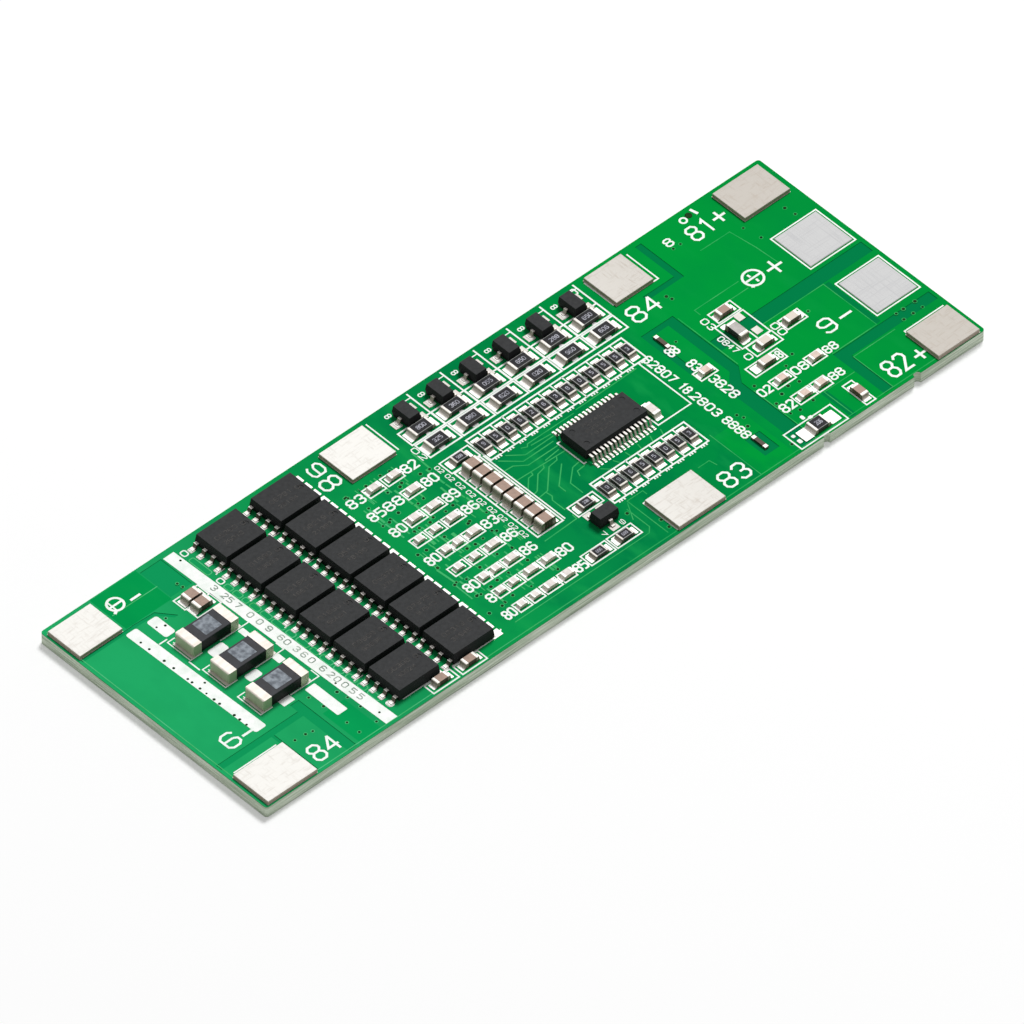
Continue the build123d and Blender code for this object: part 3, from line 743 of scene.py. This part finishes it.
# Figures: words, the rectangle that they fill, quarter turns
LABELS = (
    ("84", -46.0, -17.4, -42.1, -14.7, 0),
    ("6", -51.9, -9.4, -49.8, -6.9, 0),
    ("83", 16.55, -17.4, 20.45, -14.7, 0),
    ("84", 26.9, 8.5, 31.2, 11.2, 0),
    ("81", 40.7, 13.5, 44.3, 16.0, 0),
    ("9", 41.4, -7.2, 43.4, -4.8, 0),
    ("82", 42.1, -17.3, 45.5, -14.4, 0),
    ("9", -16.35, 15.2, -14.2, 17.2, 3),
    ("8", -16.9, 12.7, -14.1, 14.6, 3),
    ("8", 37.8, 15.0, 38.9, 16.35, 0),
    ("8", 34.95, -6.3, 35.6, -5.0, 0),
    ("82807", 23.2, -0.8, 24.5, 4.2, 3),
    ("18", 23.2, -3.2, 24.5, -1.6, 3),
    ("2803", 23.2, -8.1, 24.5, -3.6, 3),
    ("8888", 23.2, -12.8, 24.5, -8.8, 3),
    ("88", 26.0, 2.1, 27.6, 3.6, 0),
    ("83", 26.4, -1.3, 27.8, 0.4, 3),
    ("3828", 26.6, -7.3, 28.0, -3.0, 3),
    ("03", 32.2, 2.2, 33.2, 4.2, 3),
    ("0847", 31.7, -2.2, 32.6, 0.85, 3),
    ("0", 32.0, -4.1, 33.0, -3.1, 3),
    ("00", 37.5, -3.8, 38.6, -1.6, 3),
    ("02", 29.2, -9.45, 31.1, -8.1, 0),
    ("08", 34.35, -9.45, 36.6, -8.1, 0),
    ("88", 39.3, -9.4, 41.2, -8.1, 0),
    ("82", 29.35, -13.0, 31.4, -11.5, 0),
    ("88", 36.9, -12.9, 38.9, -11.6, 0),
    ("02", -5.5, 9.1, -4.7, 11.4, 3),
    ("7", 1.2, -13.3, 1.8, -12.4, 3),
    ("9", 4.0, -13.3, 4.6, -12.5, 3),
    ("0", 24.8, 16.6, 25.5, 17.7, 0),
)
SIGNS = (
    ("minus", -43.55, 15.3, 1.5), ("minus", -48.7, -8.6, 1.5), ("plus", 45.4, 14.85, 1.8),
    ("plus", 44.5, 4.8, 2.2), ("minus", 45.1, -6.15, 1.8), ("plus", 46.95, -16.35, 1.7),
)
# Round signs: the ring's centre, radius and width, then strokes with their widths
ROUND_SIGNS = (
    ((-45.95, 16.0, 1.0, 0.3), (
        ((-46.9, 15.95), (-45.0, 15.95), 0.28),
        ((-46.45, 16.75), (-46.45, 15.1), 0.2),
        ((-47.0, 14.9), (-46.45, 15.25), 0.36),
    )),
    ((41.5, 5.15, 1.25, 0.3), (
        ((40.4, 5.15), (42.6, 5.15), 0.28),
        ((41.35, 5.4), (41.3, 5.9), 0.28),
        ((41.6, 4.3), (41.65, 4.8), 0.28),
        ((40.45, 4.0), (40.75, 4.4), 0.4),
    )),
    ((42.0, 17.1, 0.42, 0.24), (((43.75, 17.9), (44.0, 16.8), 0.35),)),
)
# Rows of gate resistors: y, then the ends of the figures and of the frames
GATE_ROWS = (
    (9.55, ((-16.6, -14.2), (-8.3, -6.1)), ((-13.9, -11.35), (-11.15, -8.5))),
    (6.5, ((-16.2, -13.95), (-13.8, -11.2), (-8.0, -5.9)), ((-10.95, -8.2),)),
    (3.1, ((-16.05, -13.9), (-7.9, -5.85)), ((-13.65, -11.0), (-10.8, -8.05))),
    (0.3, ((-7.65, -5.6),), ((-15.35, -13.1), (-12.95, -10.6), (-10.45, -7.8))),
    (-2.85, ((-16.2, -14.3), (-7.6, -5.5)), ((-14.1, -12.5), (-12.4, -10.5), (-10.4, -7.8))),
    (-5.8, ((-7.35, -5.4),), ((-15.25, -12.75), (-12.6, -10.35), (-10.2, -7.5))),
    (-8.8, ((-15.9, -13.95), (-7.25, -5.25)), ((-13.8, -12.25), (-12.15, -10.1), (-10.0, -7.4))),
    (
        -11.65, ((-15.1, -14.1), (-4.45, -2.4)),
        ((-13.95, -12.25), (-12.15, -9.9), (-9.75, -7.15), (-7.0, -4.6)),
    ),
    (
        -14.8, ((-15.6, -13.9), (-4.75, -3.0)),
        ((-13.75, -11.8), (-11.65, -9.8), (-9.6, -7.15), (-6.95, -4.95)),
    ),
)
GATE_ROW_H = 1.5
SHORT_LABEL = 1.5
# Figures down the left of the filter capacitors
COLUMN_LABEL_X = (-5.45, -4.8)
COLUMN_LABEL_Y = 7.0
COLUMN_LABEL_PITCH = 1.72
COLUMN_LABEL_COUNT = 9
# Grey figures on the leaning bar, and rings beside it that lean as it does
BAR_LEAN = 0.022
BAR_LEAN_Y = 10
BAR_FIGURES_X = -36.6
BAR_FIGURES_Y = (
    10.4, 8.7, 7.8, 6.6, 4.6, 3.1, 1.6, -0.3, -1.3, -2.8, -4.0, -5.2, -7.0, -8.3, -9.3, -10.5, -11.8, -13.0,
)
FAINT_RINGS_X = -34.95
RINGS = ((-34.95, 16.6), (-34.9, 10.7), (-34.0, -16.0))
FAINT_RINGS = (
    (15.5, 12.3), (9.9, 8.8), (8.5, 7.3), (7.0, 6.2), (5.8, 4.4), (4.1, 2.6), (2.3, 0.4), (0.0, -1.2),
    (-1.6, -3.4), (-3.8, -5.0), (-5.4, -7.2), (-7.6, -9.0), (-9.5, -11.0), (-11.4, -12.6), (-13.0, -14.8),
)

# Frames round single parts, and lines beside them
FRAMES = (
    (-40.85, 10.1, -37.2, 12.0), (-40.65, 8.2, -37.1, 10.1), (-29.4, -18.2, -25.55, -16.6),
    (-25.0, -18.2, -21.3, -16.6), (-4.5, 5.5, -0.2, 7.6), (1.23, -9.07, 5.07, -7.17),
    (-2.9, -15.6, 0.8, -13.7), (1.1, -15.6, 4.8, -13.67), (32.85, -2.25, 37.15, 2.25),
    (33.25, -4.25, 37.25, -2.33), (38.75, -3.5, 41.75, -1.75), (33.7, 2.5, 37.1, 4.3),
    (30.85, -6.55, 35.75, -4.8), (31.4, -9.6, 34.2, -8.0), (36.8, -9.5, 39.1, -8.0),
    (31.6, -13.1, 34.25, -11.4), (34.5, -13.1, 36.6, -11.4), (37.0, -18.1, 38.4, -14.15),
    (26.85, -18.25, 34.0, -15.25), (26.0, -2.85, 28.5, -1.35),
)
PRINTED_LINES = (
    ((7.85, 1.0), (7.4, 1.0), (7.4, -3.35), (7.8, -3.35)),
    ((22.7, 4.0), (22.7, -4.6), (17.65, -4.6), (17.65, -3.4)),
    ((-0.05, 5.2), (-0.05, -8.2)),
    ((-54.0, -12.1), (-47.6, -12.1)),
    ((-6.3, 12.3), (-6.3, 17.7)),
    ((27.0, 12.6), (27.0, 17.5)),
    ((33.6, 17.5), (33.6, 12.3), (32.9, 12.3)),
    ((8.4, -12.35), (8.0, -12.4), (8.0, -18.0)),
    ((54.2, -12.55), (48.15, -12.55), (48.15, -18.2)),
    ((-46.6, 8.1), (-45.4, 8.1)),
    ((-45.98, 3.9), (-45.98, 2.1)),
    ((-32.5, -16.45), (-25.7, -16.45)),
    ((-25.0, -16.45), (-17.8, -16.45), (-17.1, -15.9)),
    ((35.3, -0.7), (35.3, -2.2)),
)

# Lands that run out further than the chip on them
LONG_LANDS = (
    (-4.15, 5.95, -3.2, 7.2), (1.6, -8.8, 2.4, -7.5), (-2.5, -15.3, -1.6, -14.0),
    (1.45, -15.3, 2.25, -14.0), (28.0, -17.75, 29.4, -15.95), (32.1, -17.75, 33.5, -15.95),
    (31.2, -6.3, 32.5, -5.05), (40.6, -3.25, 41.4, -2.2), (33.9, -4.0, 34.7, -2.7),
    (33.3, -1.95, 34.4, -1.25), (33.3, 1.3, 34.1, 1.95), (37.3, -17.75, 38.1, -16.8),
)

# Copper lines under the mask, and the edges of copper areas
TRACES = (
    ((0.63, 3.46), (2.67, 1.5), (7.3, 1.55)),
    ((1.82, 3.54), (3.53, 2.1), (7.9, 2.15)),
    ((-0.06, 1.84), (1.31, 1.75), (2.67, 0.7), (7.3, 0.72)),
    ((-0.23, -0.2), (7.3, -0.42)),
    ((4.55, -0.05), (6.9, 0.2)),
    ((-0.06, -2.17), (1.31, -0.8), (1.99, -0.75), (2.16, -0.35)),
    ((-0.06, -3.1), (0.63, -2.93), (2.5, -1.06), (3.7, -0.8), (3.87, -0.45)),
    ((-0.06, -3.87), (1.48, -3.7), (4.2, -1.06), (5.57, -0.89), (5.9, -0.45)),
    ((2.93, -5.15), (2.93, -4.04), (5.57, -1.66)),
    ((4.2, -6.6), (4.2, -4.55), (6.08, -2.93), (7.2, -2.76)),
    ((1.22, -3.8), (1.31, -4.64), (0.88, -5.15), (0.88, -7.2)),
    ((5.74, -4.47), (6.08, -3.7), (7.28, -3.6)),
    ((3.87, 3.2), (4.55, 2.86), (4.9, 3.2), (12.0, 3.2)),
    ((5.0, 2.75), (7.9, 2.55)),
    ((-4.15, -9.24), (0.9, -9.07), (0.97, -8.3)),
    ((12.5, 3.45), (22.0, 3.6)),
    ((8.2, -5.2), (9.2, -6.2)), ((10.1, -5.2), (10.6, -6.2)), ((12.0, -5.2), (12.1, -6.2)),
    ((13.9, -5.2), (13.7, -6.2)), ((15.8, -5.2), (15.4, -6.2)), ((17.4, -5.2), (17.0, -6.2)),
)
POUR_LINES = (
    ((-54.5, -18.05), (54.4, -18.05)),
    ((-54.5, -18.0), (-54.5, 18.0)),
    ((-47.4, 14.9), (-40.6, 14.9)),
    ((40.1, 12.3), (44.6, 12.25), (45.1, 8.4), (45.3, 4.6)),
    ((33.1, 4.9), (33.1, 5.85), (39.9, 5.85)),
    ((37.3, 4.35), (40.0, 4.35)),
    ((37.2, -0.95), (46.6, -0.95), (46.6, -9.65), (39.7, -9.65)),
    ((-15.2, -16.2), (5.3, -16.2), (6.0, -15.5), (6.0, -11.8)),
    ((5.4, -13.5), (6.7, -11.2)),
    ((41.15, -18.0), (41.15, -11.6), (47.6, -11.6)),
    ((34.9, -18.0), (34.9, -13.4), (39.6, -13.4)),
    ((29.25, -18.0), (29.25, -7.9)),
    ((30.85, 6.2), (30.85, -3.6)),
    ((9.3, -11.6), (9.3, -10.9), (6.9, -10.9), (6.9, -17.6)),
    ((16.3, -12.5), (18.0, -12.5), (18.2, -13.6)),
    ((20.8, -18.0), (20.8, -9.6)),
)


CELL_NODES = [f"balance_resistors_{k}" for k in range(1, 7)]
ROW_NODES = ["filter_resistors", "pull_up_resistors"]
PALE_NODES = ["gate_resistors", "pull_down_resistors", "output_resistors", "controller_capacitor"]
CAPACITOR_NODES = ["filter_capacitors", "small_capacitors", "output_capacitors", "regulator", "solder_links"]
# Glazed chips: name of the pieces, their nodes, width of the bare ceramic rim
GLAZED = (
    ("balance", CELL_NODES + ["temperature_sensor"], 0.07),
    ("row", ROW_NODES + ["cell_resistors"], 0.1),
)
# Metal ends of the chips: name of the pieces, their nodes, their solder, then the shares
# of the cap that is kept, of the land that shows and of the land under the slope
TERMINATIONS = (
    ("wide_chip", CELL_NODES + ["temperature_sensor"], MATERIALS["tinned_lead"], 0.7, 0.85, 0.55),
    ("row_chip", ROW_NODES + ["cell_resistors"], GREY_SOLDER, 0.8, 0.8, 0.55),
    ("capacitor", CAPACITOR_NODES, CAPACITOR_TIN, 1.0, 0.9, 0.35),
    ("pale_chip", PALE_NODES, PALE_SOLDER, 1.0, 0.9, 0.5),
)


def printed_frames():
    """White outlines round the parts."""
    ink = Relief(INK_T)
    for k in range(1, 7):
        cell_frames(ink, k)
    row_grid(ink, chips("filter_resistors"), 0.14, 0.3)
    row_grid(ink, chips("pull_up_resistors"), 0.2, 0.24)
    column_grid(ink, chips("filter_capacitors"))
    for y, _, spans in GATE_ROWS:
        for x0, x1 in spans:
            ink.box(x0 + 0.08, y - GATE_ROW_H / 2, x1 - 0.08, y + GATE_ROW_H / 2, FRAME_W)
    for place in FRAMES:
        ink.box(*place, FRAME_W)
    for points in PRINTED_LINES:
        ink.line(*points, width=FRAME_W)
    for node in ("output_pad_plus", "output_pad_minus"):
        pad = node_box(node)
        ink.box(pad.x0 - 0.24, pad.y0 - 0.24, pad.x1 + 0.24, pad.y1 + 0.24, FRAME_W)
    for number in (1, 2, 3):
        shunt_frame(ink, node_box(f"current_shunt_{number}"))
    ink.piece("printed_frames", INK, "white_ink")


def cell_frames(ink, number):
    """The printed boxes of one balancing cell and the line up beside its transistor."""
    low, high = boxes(f"balance_resistors_{number}")
    x = (low.x0 + low.x1) / 2 + 0.12
    low_y, high_y = (low.y0 + low.y1) / 2, (high.y0 + high.y1) / 2
    x0, x1 = x - 2.5, x + 2.52
    ink.box(x0, high_y - 1.15, x1, high_y + 1.25)
    ink.box(x0 + 0.2, low_y - 1.2, x1, low_y + 1.32)
    ink.line((x1, high_y + 1.25), (x1, 18.1))
    ink.line((x1 - 0.9, 17.4), (x1, 17.4), width=TICK_W)
    ink.text("8", x - 1.85, 16.65, x - 0.95, 17.25, 3)
    ink.plate(((x - 0.25, high_y - 1.1), (x + 0.5, high_y - 1.1), (x + 0.1, high_y - 0.5)))
    ink.bar(x - 0.65, low_y - 1.05, x + 0.2, low_y - 0.75, 0.1)


def row_grid(ink, places, shift, margin):
    """Frames round a row of chips, with part of a figure below each."""
    pitch = places[1].box.x0 - places[0].box.x0
    y0, y1 = places[0].box.y0 - margin, places[0].box.y1 + margin
    first = (places[0].box.x0 + places[0].box.x1 - pitch) / 2 + shift
    last = first + pitch * len(places)
    ink.box(first, y0, last, y1)
    for k in range(1, len(places)):
        ink.line((first + k * pitch, y0), (first + k * pitch, y1), width=FRAME_W)
        ink.disc(first + k * pitch + 0.16, (y0 + y1) / 2 + 0.3, 0.26)
    for k in range(len(places)):
        x = first + (k + 0.5) * pitch
        for step in (-0.45, -0.1, 0.3):
            ink.bar(x + step, y0 - 0.36, x + step + 0.2, y0 - 0.1)


def column_grid(ink, places):
    """A frame round a column of capacitors, with short lines between them."""
    places = sorted(places, key=lambda chip: chip.box.y0)
    x0, x1 = places[0].box.x0 - 0.3, places[0].box.x1 + 0.3
    ink.box(x0, places[0].box.y0 - 0.25, x1, places[-1].box.y1 + 0.25)
    for one, following in zip(places, places[1:]):
        y = (one.box.y1 + following.box.y0) / 2 + 0.12
        ink.line((x0, y), (x0 + 1.3, y), width=BRACKET_W)
        ink.line((x1 - 0.8, y), (x1, y), width=BRACKET_W)


def shunt_frame(ink, shunt):
    """Open brackets round one current shunt."""
    y0, y1 = shunt.y0 - 0.1, shunt.y1 + 0.65
    x0, x1 = shunt.x0 - 1.75, shunt.x1 + 2.6
    ink.line((x0 + 1.1, y1), (x0, y1), (x0, y0), (x0 + 1.8, y0), width=BRACKET_W)
    ink.line((x0 + 0.5, y0 + 0.4), (x0 + 0.5, y1 - 0.4), width=THIN_W)
    ink.line((x1 - 4.3, y0), (x1, y0), (x1, y0 + 1.3), width=BRACKET_W)


def printed_bars():
    """The solid white bars beside the current shunts."""
    ink = Relief(INK_T)
    for bar in BARS:
        ink.bar(*bar)
    ink.bar(*SENSE_BAR)
    ink.plate(LEANING_BAR)
    for x, y in RINGS:
        ink.line(*rounded(x - 0.36, y - 0.42, x + 0.36, y + 0.42, 0.25), width=0.17, closed=True)
    ink.piece("printed_bars", INK, "white_ink")


def leaning(x, y):
    """Where a line beside the leaning bar has got to at a height on the board."""
    return x + BAR_LEAN * (BAR_LEAN_Y - y)


def bar_figures():
    """Thin grey figures down the leaning bar."""
    ink = Relief(BAR_FIGURE_T)
    digits = random.Random(SEED)
    for y in BAR_FIGURES_Y:
        x = leaning(BAR_FIGURES_X, y)
        ink.text(digits.choice("0235679"), x, y - 0.38, x + 0.9, y + 0.38, 3)
    ink.piece("bar_figures", BAR_PRINT, "hole_shadow")


def printed_figures():
    """Plain figures and signs."""
    ink = Relief(INK_T)
    for label in LABELS:
        ink.text(*label)
    for kind, x, y, size in SIGNS:
        ink.line((x - size / 2, y), (x + size / 2, y), width=SIGN_W)
        if kind == "plus":
            ink.line((x, y - size / 2), (x, y + size / 2), width=SIGN_W)
    for ring, strokes in ROUND_SIGNS:
        ink.ring(*ring)
        for start, end, width in strokes:
            ink.line(start, end, width=width)
    digits = random.Random(SEED)
    for y, spans, _ in GATE_ROWS:
        for x0, x1 in spans:
            words = "8" + digits.choice("0235689")
            ink.text(words if x1 - x0 > SHORT_LABEL else "8", x0, y - GATE_ROW_H / 2, x1, y + GATE_ROW_H / 2)
    x0, x1 = COLUMN_LABEL_X
    for k in range(COLUMN_LABEL_COUNT):
        y = COLUMN_LABEL_Y - COLUMN_LABEL_PITCH * k
        ink.text("02", x0, y - 0.72, x1, y + 0.55, 3)
    ink.piece("printed_figures", INK, "white_ink")


def nearest_body(foot):
    """The box of the small transistor that a lead belongs to."""
    bodies = [node_box(f"small_transistor_{number}") for number in range(1, 8)]
    return min(bodies, key=lambda body: abs(body.x0 + body.x1 - foot.x0 - foot.x1) + abs(body.y0 - foot.y0))


def lead_solder():
    """Solder heaps at the leads of the power transistors and the left leads of the small ones."""
    heaps = Relief(HEAP_H)
    for foot in boxes("power_transistor_leads"):
        middle = (foot.y0 + foot.y1) / 2
        heaps.mound(foot.x0 - 0.25, middle - 0.37, foot.x0 + 0.5, middle + 0.37, 0.12, 0.12)
    for foot in boxes("small_transistor_leads"):
        along_x = foot.x1 - foot.x0 > foot.y1 - foot.y0
        if foot.y1 > SMALL_TRANSISTOR_ROW and along_x and foot.x0 < nearest_body(foot).x0:
            middle = (foot.y0 + foot.y1) / 2
            heaps.mound(foot.x0 - 0.25, middle - 0.6, foot.x0 + 0.6, middle + 0.55, 0.15, 0.12)
    heaps.piece("lead_solder")


def transistor_prints():
    """Ticks between the power transistors, and the drain lands beside them."""
    ink, strips = Relief(INK_T), Relief(TIN_T)
    for number in range(1, 2 * MOS_ROWS + 1):
        body = node_box(f"power_transistor_{number:02d}")
        middle = (body.y0 + body.y1) / 2
        if number % MOS_ROWS:
            ink.line((body.x0 - 1.5, body.y0 + 0.15), (body.x0 - 0.1, body.y0 + 0.15), width=TICK_W)
        reach = RIGHT_FINGER_REACH if number > MOS_ROWS else LEFT_FINGER_REACH
        for i in range(FINGERS):
            y = middle + (i - (FINGERS - 1) / 2) * FINGER_PITCH
            strips.bar(body.x1 - 0.1, y - FINGER_HALF, body.x1 + reach, y + FINGER_HALF, 0.08)
    ink.piece("transistor_ticks", INK, "white_ink")
    strips.piece("drain_lands")


def laser_marks():
    """Barely visible figures and pin marks on the moulded tops."""
    marks = Relief(MARK_T, node_box("power_transistor_01").z)
    digits = random.Random(SEED)
    for number in range(1, 2 * MOS_ROWS + 1):
        body = node_box(f"power_transistor_{number:02d}")
        x, y = (body.x0 + body.x1) / 2, (body.y0 + body.y1) / 2
        words = "".join(digits.choice("0123456789") for _ in range(6))
        marks.text("0" + words[:4], x - 2.0, y + 0.1, x + 1.2, y + 0.75)
        marks.text(words[1:], x - 1.7, y - 1.05, x + 1.1, y - 0.45)
        marks.ring(x + 2.0, y + 0.25, 0.28, 0.1, 14)
    marks.piece("transistor_marks", FAINT, "moulded_epoxy")
    body = node_box("controller")
    marks = Relief(MARK_T, body.z)
    for row in range(3):
        y = body.y1 - 1.15 - 0.85 * row
        words = "".join(digits.choice("0123456789") for _ in range(8 - row))
        marks.text(words, body.x0 + 2.1, y - 0.25, body.x0 + 7.2 - 0.8 * row, y + 0.25)
    marks.piece("controller_marks", FAINT, "moulded_epoxy")


def long_lands():
    """Tinned lands that run out further than the chip on them."""
    metal = Relief(LONG_TIN_T)
    for place in LONG_LANDS:
        metal.bar(*place, 0.12)
    metal.piece("long_lands")


def controller_lands():
    """Tinned lands under the controller's leads."""
    metal = Relief(TIN_T)
    body = node_box("controller")
    for lead in boxes("controller_leads"):
        y = lead.y1 - 0.25 if lead.y1 > body.y1 + 0.1 else lead.y0 + 0.25
        metal.bar(lead.x0 - 0.03, y - 0.45, lead.x1 + 0.03, y + 0.45, 0.05)
    metal.piece("controller_lands")


def holes():
    """Painted shade in the mouths of the vias: dark discs, each with a faint raised rim."""
    dark, rims = Relief(HOLE_T), Relief(TRACE_T)
    jitter = random.Random(SEED)
    places = [(SENSE_HOLES_X, y) for y in SENSE_HOLES_Y] + list(HOLES)
    for y in STITCH_ROWS:
        for _ in range(STITCH_COUNT):
            places.append((jitter.uniform(*STITCH_SPAN), y + jitter.uniform(-0.3, 0.3)))
    for x, y in places:
        radius = HOLE_R * jitter.uniform(0.75, 1.15)
        dark.disc(x, y, radius)
        rims.ring(x, y, radius + 0.07, 0.08, 14)
    dark.disc(*MARKER_HOLE)
    rims.piece("hole_rims", COPPER, "solder_mask")
    dark.piece("painted_hole_shade", HOLE, "hole_shadow")


def copper_lines():
    """Raised copper lines and the edges of copper areas."""
    copper = Relief(TRACE_T)
    for points in TRACES:
        copper.line(*points, width=TRACE_W)
    for points in POUR_LINES:
        copper.line(*points, width=THIN_W)
    for y1, y0 in FAINT_RINGS:
        x = leaning(FAINT_RINGS_X, y0)
        copper.line(*rounded(x - 0.38, y0, x + 0.38, y1, 0.25), width=TRACE_W, closed=True)
    jitter = random.Random(SEED + 1)
    for upper, lower in zip(STITCH_ROWS, STITCH_ROWS[1:]):
        for _ in range(STITCH_LINES):
            x, y = jitter.uniform(*STITCH_SPAN), (upper + lower) / 2
            sway, width = jitter.uniform(-0.2, 0.2), jitter.uniform(0.1, 0.3)
            copper.line((x, y + 1.5), (x + sway, y - 1.5), width=width)
    copper.piece("copper_lines", COPPER, "solder_mask")


def shunt_marks():
    """Pale patches printed on the current shunts."""
    patch = Relief(PATCH_T, node_box("current_shunt_1").z)
    for number in (1, 2, 3):
        shunt = node_box(f"current_shunt_{number}")
        x, y = (shunt.x0 + shunt.x1) / 2 + 0.1, (shunt.y0 + shunt.y1) / 2 + 0.1
        patch.bar(x - 1.2, y - 1.15, x + 1.2, y + 1.15, 0.1)
    patch.piece("shunt_marks", PATCH, "shunt_mark")


def end_place(end):
    """A function from (run, across) at a chip's end to places on the board."""
    def place(run, across):
        along = end.half + end.side * run
        return (along, end.middle + across) if end.axis == 0 else (end.middle + across, along)
    return place


def chip_terminations(name, nodes, material, cap_share, land_share, spread):
    """End caps with hollow solder slopes, and the flat lands that they run out on."""
    metal, lands = Relief(0), Relief(TIN_T)
    for end in (end for node in nodes for chip in chips(node) for end in chip.ends):
        cap = abs(end.half - end.inner)
        lip = cap * (1 - cap_share)
        reach = abs(end.outer - end.half) * land_share
        rise = end.top - TOP - TIN_T
        run = min(spread * (reach + lip), rise * SLOPE_LIMIT)
        curve = END_ROUND * rise
        slope = [
            (run * (1 - math.cos(a)) - lip, TOP + TIN_T + rise * (1 - END_ROUND) * (1 - math.sin(a)))
            for a in (math.pi / 2 * i / FILLET_STEPS for i in range(FILLET_STEPS + 1))
        ]
        drop = SHOULDER_SHARE * curve
        shoulder = [(-lip - curve, end.top), (-lip - drop, end.top - drop)]
        profile = [(-cap, TOP - SUNK), (-cap, end.top), *shoulder, *slope, (run - lip, TOP - SUNK)]
        place = end_place(end)
        metal.sweep(profile, place, end.width)
        (ax, ay), (bx, by) = place(-cap, -end.width / 2), place(reach, end.width / 2)
        lands.bar(min(ax, bx), min(ay, by), max(ax, bx), max(ay, by), LAND_ROUND)
    made = metal.piece(f"{name}_terminations", material)
    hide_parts("chip_ends")
    lands.piece(f"{name}_lands")


def chip_tops():
    """Black glaze on the resistors, inside a narrow ceramic rim, with worn figures on it."""
    digits = random.Random(SEED)
    for name, nodes, rim in GLAZED:
        level = boxes(nodes[0])[0].z
        glaze, figures = Relief(GLAZE_T, level), Relief(VALUE_T, level)
        for node in nodes:
            for chip in chips(node):
                x0, y0, x1, y1, _ = chip.body
                x, y = (x0 + x1) / 2, (y0 + y1) / 2
                words = "".join(digits.choice("0235689") for _ in range(3))
                upright = chip.ends[0].axis == 1
                rim_x, rim_y = (rim, 0) if upright else (0, rim)
                glaze.bar(x0 + rim_x, y0 + rim_y, x1 - rim_x, y1 - rim_y, 0.03)
                share_x, share_y = (0.17, 0.22) if upright else (0.3, 0.2)
                half_x, half_y = share_x * (x1 - x0), share_y * (y1 - y0)
                words = words[:1] if upright else words
                figures.text(words, x - half_x, y - half_y, x + half_x, y + half_y)
        glaze.piece(f"{name}_glaze", GLAZE, "resistor_glaze")
        figures.piece(f"{name}_values", VALUE, "shunt_mark")


def floor():
    """A white floor that keeps the object's soft shadow."""
    mesh = bpy.data.meshes.new("floor")
    corners = [(FLOOR_HALF * x, FLOOR_HALF * y, 0) for x, y in ((-1, -1), (1, -1), (1, 1), (-1, 1))]
    mesh.from_pydata(corners, [], [(0, 1, 2, 3)])
    made = placed("floor", mesh)
    made.location.z = -FLOOR_DROP
    s = Shader("floor", roughness=0.9, specular_ior_level=0.0, base_color=srgb(250, 250, 250))
    s.plain_to_camera(s.add("ShaderNodeEmission", {"Color": (1, 1, 1, 1), "Strength": 1.0}), FLOOR_GLOW)
    mesh.materials.append(s.made)


def world():
    """Even pale surroundings, plain white to the camera and in reflections."""
    s = Shader("surroundings", world=True, color=(1, 1, 1, 1), strength=SKY_STRENGTH)
    s.plain_to_camera(s.add("ShaderNodeBackground", {"Color": (1, 1, 1, 1)}), 1.0)
    bpy.context.scene.world = s.made


def lamp():
    """A square soft light that points at the board; its turn is from +X towards +Y."""
    light = bpy.data.lights.new("key", "AREA")
    light.size = KEY_SIZE
    light.energy = KEY_POWER
    made = placed("key", light)
    run, rise = KEY_DISTANCE * math.cos(KEY_ELEVATION), KEY_DISTANCE * math.sin(KEY_ELEVATION)
    place = Vector((run * math.cos(KEY_TURN), run * math.sin(KEY_TURN), rise))
    made.location = place
    made.rotation_euler = (-place).to_track_quat("-Z", "Y").to_euler()


def camera():
    """A long lens, so that far edges stay almost parallel."""
    sine, cosine = math.sin(CAMERA_TURN), math.cos(CAMERA_TURN)
    rise, run = math.sin(CAMERA_ELEVATION), math.cos(CAMERA_ELEVATION)
    right = Vector((cosine, -sine, 0))
    up = Vector((sine * rise, cosine * rise, run))
    back = right.cross(up)
    tilt = Matrix.Rotation(CAMERA_ROLL, 3, back)
    right, up = tilt @ right, tilt @ up
    aim = (Vector((0, 0, TOP)) + right * AIM_RIGHT + up * AIM_UP) * MM
    view = bpy.data.cameras.new("camera")
    view.lens = SENSOR * CAMERA_DISTANCE / VIEW_WIDTH
    view.sensor_width = SENSOR
    view.clip_end = 10
    made = placed("camera", view)
    axes = Matrix((right, up, back)).transposed().to_4x4()
    made.matrix_world = Matrix.Translation(aim + back * CAMERA_DISTANCE * MM) @ axes
    bpy.context.scene.camera = made


printed_frames()
printed_bars()
bar_figures()
printed_figures()
transistor_prints()
lead_solder()
laser_marks()
long_lands()
controller_lands()
holes()
copper_lines()
shunt_marks()
for termination in TERMINATIONS:
    chip_terminations(*termination)
chip_tops()

floor()
world()
lamp()
camera()
bpy.context.scene.view_settings.view_transform = "Standard"
